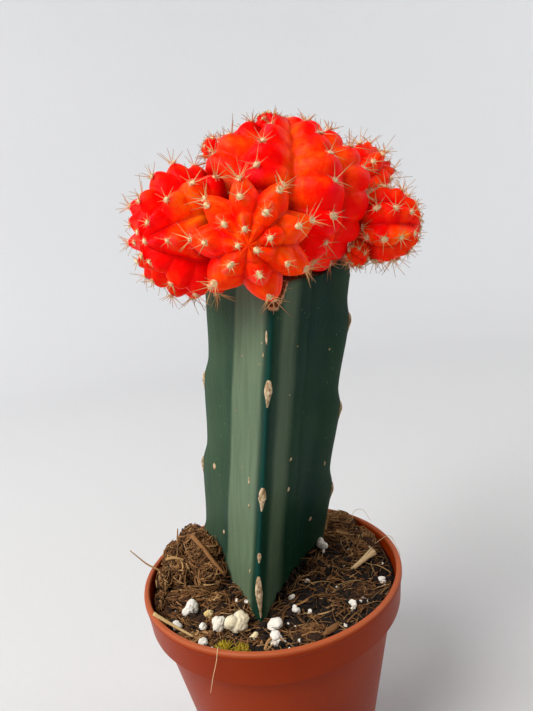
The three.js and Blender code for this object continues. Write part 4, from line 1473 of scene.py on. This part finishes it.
# %% Moss tufts
LEAVES = 260
LEAF_ROOT = 0.13
LEAF_TIP = 0.03
for number in (1, 2):
    dice = np.random.default_rng(60 + number)
    low, high = in_mm(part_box(f"moss_tuft_{number}"))
    middle = (low + high) / 2 * [1, 1, 0] + [0, 0, low[2] - 0.1]
    reach = (high - low)[:2].max() / 2
    leaves = []
    for _ in range(LEAVES):
        start = middle + np.append(dice.normal(0, 0.42, 2) * reach, dice.uniform(0, 0.9))
        heading = start - middle + dice.normal(0, 0.5, 3) + [0, 0, 0.4]
        heading /= np.linalg.norm(heading)
        steps = np.linspace(0, 1, 4)[:, None]
        leaves.append((start + heading * steps * dice.uniform(0.4, 0.95)) * MM)
    tuft = strand_mesh(f"moss_tuft_{number}_leaves", np.array(leaves), LEAF_ROOT * MM, LEAF_TIP * MM, 4,
                       dice.uniform(0, 1, len(leaves)))
    hand_over(tuft, MOSS, "moss", f"moss_tuft_{number}")
print("moss leaves in a tuft:", LEAVES)


# %% Curved strands through chosen points
def smooth_route(points, steps):
    """A smooth curve through points, in millimetres, at even steps."""
    points = np.array(points, dtype=float)
    padded = np.vstack([2 * points[0] - points[1], points, 2 * points[-1] - points[-2]])
    route = []
    for t in np.linspace(0, len(points) - 1, steps):
        i = min(int(t), len(points) - 2)
        f = t - i
        a, b, c, d = padded[i:i + 4]
        route.append(0.5 * (2 * b + (c - a) * f + (2 * a - 5 * b + 4 * c - d) * f ** 2
                            + (3 * b - a - 3 * c + d) * f ** 3))
    return np.array(route)


def on_soil(x, y, lift):
    """A point that far above the soil, in millimetres."""
    return (x, y, float(soil_height(x, y)) + lift)


# %% Straws, husk strips and hairs
# Name, material, slot, node, radius at both ends, tint, and the points of each.
LOOSE = [
    ("straw_over_rim_split", STRAW, "dry_straw", "straw_over_rim", 0.36, 0.2, 0.35,
     [(-23.4, -14.6, POT_HEIGHT + 2.1), (-20, -15.4, 49.6), on_soil(-16.3, -16.6, 0.9)]),
    ("straw_on_soil_split", STRAW, "dry_straw", "straw_on_soil", 0.34, 0.22, 0.8,
     [on_soil(-18, -18.3, 0.8), on_soil(-16.4, -18.9, 1.3), on_soil(-15, -20.2, 0.8)]),
    ("fibre_over_rim_coir", COIR, "coir_fibre", "fibre_over_rim", 0.3, 0.1, 0.85,
     [on_soil(-22.4, 2.4, 0.8), (-25, 3.2, POT_HEIGHT + 0.5), (-27.6, 4.2, POT_HEIGHT + 1.8),
      (-31, 5.5, POT_HEIGHT + 4.8)]),
    ("hair_over_front_rim", STRAW, "dry_straw", None, 0.06, 0.04, 0.9,
     [on_soil(-11, -21.8, 1), (-11.1, -24.3, 50.4), (-11.6, -25.4, 48.5), (-12.6, -25.4, 45.5),
      (-13.4, -25.3, 42.5)]),
    ("hair_right_of_rim", STRAW, "dry_straw", None, 0.06, 0.04, 0.6,
     [on_soil(23.5, 4.5, 1), (27, 4.2, 50.5), (28.3, 3.6, 48.3), (28.9, 3, 46.2), (28.3, 2.6, 44.6),
      (27.6, 2.4, 44.8)]),
    ("hair_loop_at_back", STRAW, "dry_straw", None, 0.06, 0.04, 0.6,
     [on_soil(20.5, 13, 1), (21.5, 15.6, 51.4), (23.5, 14.2, 52.4), (24.6, 11.4, 50.8)]),
    ("root_curl_in_front", COIR, "coir_fibre", None, 0.3, 0.14, 0.9,
     [on_soil(-3.2, -22.6, 0.8), on_soil(-2.3, -21, 1.3), on_soil(-0.8, -20.5, 1.6),
      on_soil(0.4, -21.3, 1)]),
    ("splinter_beside_twig", STRAW, "dry_straw", None, 0.24, 0.14, 0.7,
     [on_soil(16.9, -2.2, 0.9), on_soil(19.6, -0.6, 1.9), on_soil(22.4, 1.6, 2.2)]),
    ("blade_behind_stem", COIR, "coir_fibre", None, 0.4, 0.12, 0.8,
     [(-21.1, 8.8, 50.6), (-21.1, 10.5, 53), (-20.9, 12, 55.2)]),
    ("husk_strip_left", COIR, "coir_fibre", None, 0.6, 0.35, 0.7,
     [(-17.2, 7.6, 55.2), (-15, 4.4, 54), (-12.8, 1.6, 52), (-10.4, -0.4, 49.3)]),
    ("husk_chip_left", COIR, "coir_fibre", None, 0.4, 0.25, 0.95,
     [(-23.6, 6.4, 50.9), (-21.6, 5.2, 51.7), (-19.4, 4.6, 51.2)]),
]
for name, material, slot, node, root, tip, tint, points in LOOSE:
    route = smooth_route(points, 16)
    strand = strand_mesh(name, [route * MM], root * MM, tip * MM, 10, [tint])
    hand_over(strand, material, slot, *([node] if node else []))
print("straws, strips and hairs:", len(LOOSE))

# %% [markdown]
# A broken twig lies at the right. It is a thin cylinder that is cut into rings, and its rings are swollen so
# that it has knots and a knobby end. The bark chip is a flake, thick in the middle.


# %% Twig and bark chip
def twig(name, node, start, end, radius):
    """A knotty rod from one point to another, in millimetres."""
    low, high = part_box(node)
    rod = new_piece(name, bpy.ops.mesh.primitive_cylinder_add, vertices=24, radius=1, depth=1)
    bpy.ops.object.mode_set(mode="EDIT")
    bpy.ops.mesh.select_all(action="SELECT")
    bpy.ops.mesh.subdivide(number_cuts=5)
    bpy.ops.object.mode_set(mode="OBJECT")
    raw = points_of(rod)
    share = raw[:, 2] + 0.5
    swell = 1 + 0.75 * np.exp(-((share - 0.95) / 0.12) ** 2) + 0.3 * np.exp(-((share - 0.45) / 0.06) ** 2)
    swell *= 1 + 0.12 * wander(raw * [1, 1, 3], 0.5, 4)
    run = np.array(end) - start
    local = np.column_stack([raw[:, 0] * radius * swell, raw[:, 1] * radius * swell, 0 * share])
    placed = local @ turn_to(run / np.linalg.norm(run)).T + np.array(start) + share[:, None] * run
    set_points(rod, placed * MM)
    smooth(rod)
    set_attribute(rod, "tint", 0.6 + 0.3 * wander(raw * 3, 1.0, 8))
    print(name, "fills", [round((b - a) / MM, 1) for a, b in zip(low, high)], "mm")
    hand_over(rod, WOOD, "dry_wood", node)


twig("twig_with_knob", "wood_stick", on_soil(17.3, -2.6, 1.3), on_soil(22.6, 0.5, 1.9), 0.46)
CHIP_TURN = 0.6
CHIP_HALF = np.array([2.1, 0.8, 0.55])
chip_low, chip_high = in_mm(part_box("bark_chip"))
chip_centre = (chip_low + chip_high) / 2
cos, sin = math.cos(CHIP_TURN), math.sin(CHIP_TURN)
chip_turn = np.array([[cos, -sin, 0], [sin, cos, 0], [0, 0, 1]])
chip = lump_mesh("bark_chip_flake", [chip_centre * MM], [chip_turn], [CHIP_HALF * MM], 0.2, 5, [0.55], 71)
hand_over(chip, COIR, "dry_wood", "bark_chip")

# %% [markdown]
# ## Floor, wall and light
#
# The pot stands on a plain pale floor that curves up into a round wall, as in a light tent. A soft lamp
# above and in front, to the left, models the flesh. Two weaker ones wash the wall, which then lights the
# plant from the sides and from behind.

# %% Stage
COVE_RADIUS = 1.15
COVE_HEIGHT = 1.5
COVE_FORWARD = -0.42
COVE_CURVE = 0.3
cove = new_piece("cove", bpy.ops.mesh.primitive_cylinder_add, vertices=128, radius=COVE_RADIUS,
                 depth=COVE_HEIGHT, location=(0, COVE_FORWARD, COVE_HEIGHT / 2))
bpy.ops.object.mode_set(mode="EDIT")
bpy.ops.mesh.select_all(action="DESELECT")
bpy.ops.object.mode_set(mode="OBJECT")
for face in cove.data.polygons:
    face.select = face.center.z > COVE_HEIGHT - 0.01
bpy.ops.object.mode_set(mode="EDIT")
bpy.ops.mesh.select_mode(type="FACE")
bpy.ops.mesh.delete(type="FACE")
bpy.ops.mesh.select_all(action="SELECT")
bpy.ops.mesh.flip_normals()
bpy.ops.object.mode_set(mode="OBJECT")
curve = cove.modifiers.new("curve", "BEVEL")
curve.width = COVE_CURVE
curve.segments = 20
curve.limit_method = "ANGLE"
curve.angle_limit = math.radians(60)
bpy.ops.object.modifier_apply(modifier=curve.name)
bpy.ops.object.shade_smooth_by_angle(angle=math.radians(20))
print("cove faces:", len(cove.data.polygons))

# %% [markdown]
# **Backdrop paper.** It is matt and nearly white. It is a little paler at the back, where it stands in for a
# bright room, and its faint fibre keeps it from looking like plastic.

# %% Paper
backdrop, tree, surface, place = new_material("pale_paper_backdrop",
                                              **{"Roughness": 0.95, "Specular IOR Level": 0.1})
depth_of = add_node(tree, "ShaderNodeSeparateXYZ", links={"Vector": place}).outputs["Y"]
paper = mix_color(tree, span(tree, depth_of, 0.1, 0.6), "d3d3d3", "dfe0e2")
grain = noise_at(tree, place, 2.0, detail=3)
fibrous = mix_color(tree, span(tree, grain, 0.3, 0.7, 0, 0.04), paper, "a8a7a2")
tree.links.new(fibrous, surface.inputs["Base Color"])
cove.data.materials.append(backdrop)
cove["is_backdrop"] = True

# %% Lights
ROOM_COLOR = "f2f3f5"
ROOM_STRENGTH = 0.22
world = bpy.data.worlds.new("room")
bpy.context.scene.world = world
world.use_nodes = True
room = world.node_tree.nodes["Background"]
room.inputs["Color"].default_value = linear(ROOM_COLOR)
room.inputs["Strength"].default_value = ROOM_STRENGTH


def soft_light(name, place, target, size, power, color="ffffff"):
    """A round lamp at a place, turned to a target. Sizes are in metres, power in watts."""
    lamp = bpy.data.lights.new(name, "AREA")
    lamp.shape = "DISK"
    lamp.size = size
    lamp.energy = power
    lamp.color = linear(color)[:3]
    light = bpy.data.objects.new(name, lamp)
    bpy.context.scene.collection.objects.link(light)
    light.location = place
    light.rotation_euler = (Vector(target) - Vector(place)).to_track_quat("-Z", "Y").to_euler()


soft_light("window", place=(-0.38, -0.34, 0.6), target=(0, 0, 0.1), size=0.42, power=5.6, color="fffdfb")
soft_light("wall_wash_left", place=(-0.7, 0.1, 0.6), target=(-0.1, 0.6, 0.2), size=0.5, power=2.4)
soft_light("wall_wash_right", place=(0.7, 0.1, 0.5), target=(0.1, 0.6, 0.1), size=0.5, power=2.0)
bpy.context.scene.view_settings.view_transform = "Standard"
print("lamps:", len(bpy.data.lights))

# %% [markdown]
# ## Sizes and the last line
#
# Spines and fibres may stand a little proud of the frame's box, and nothing else should. Both boxes are
# printed, so that they can be compared.

# %% Finish
sizes = {"cad": [[float(v) for v in corner] for corner in cad_box],
         "visual": [[float(v) for v in corner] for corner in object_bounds()]}
print("sizes:", sizes)
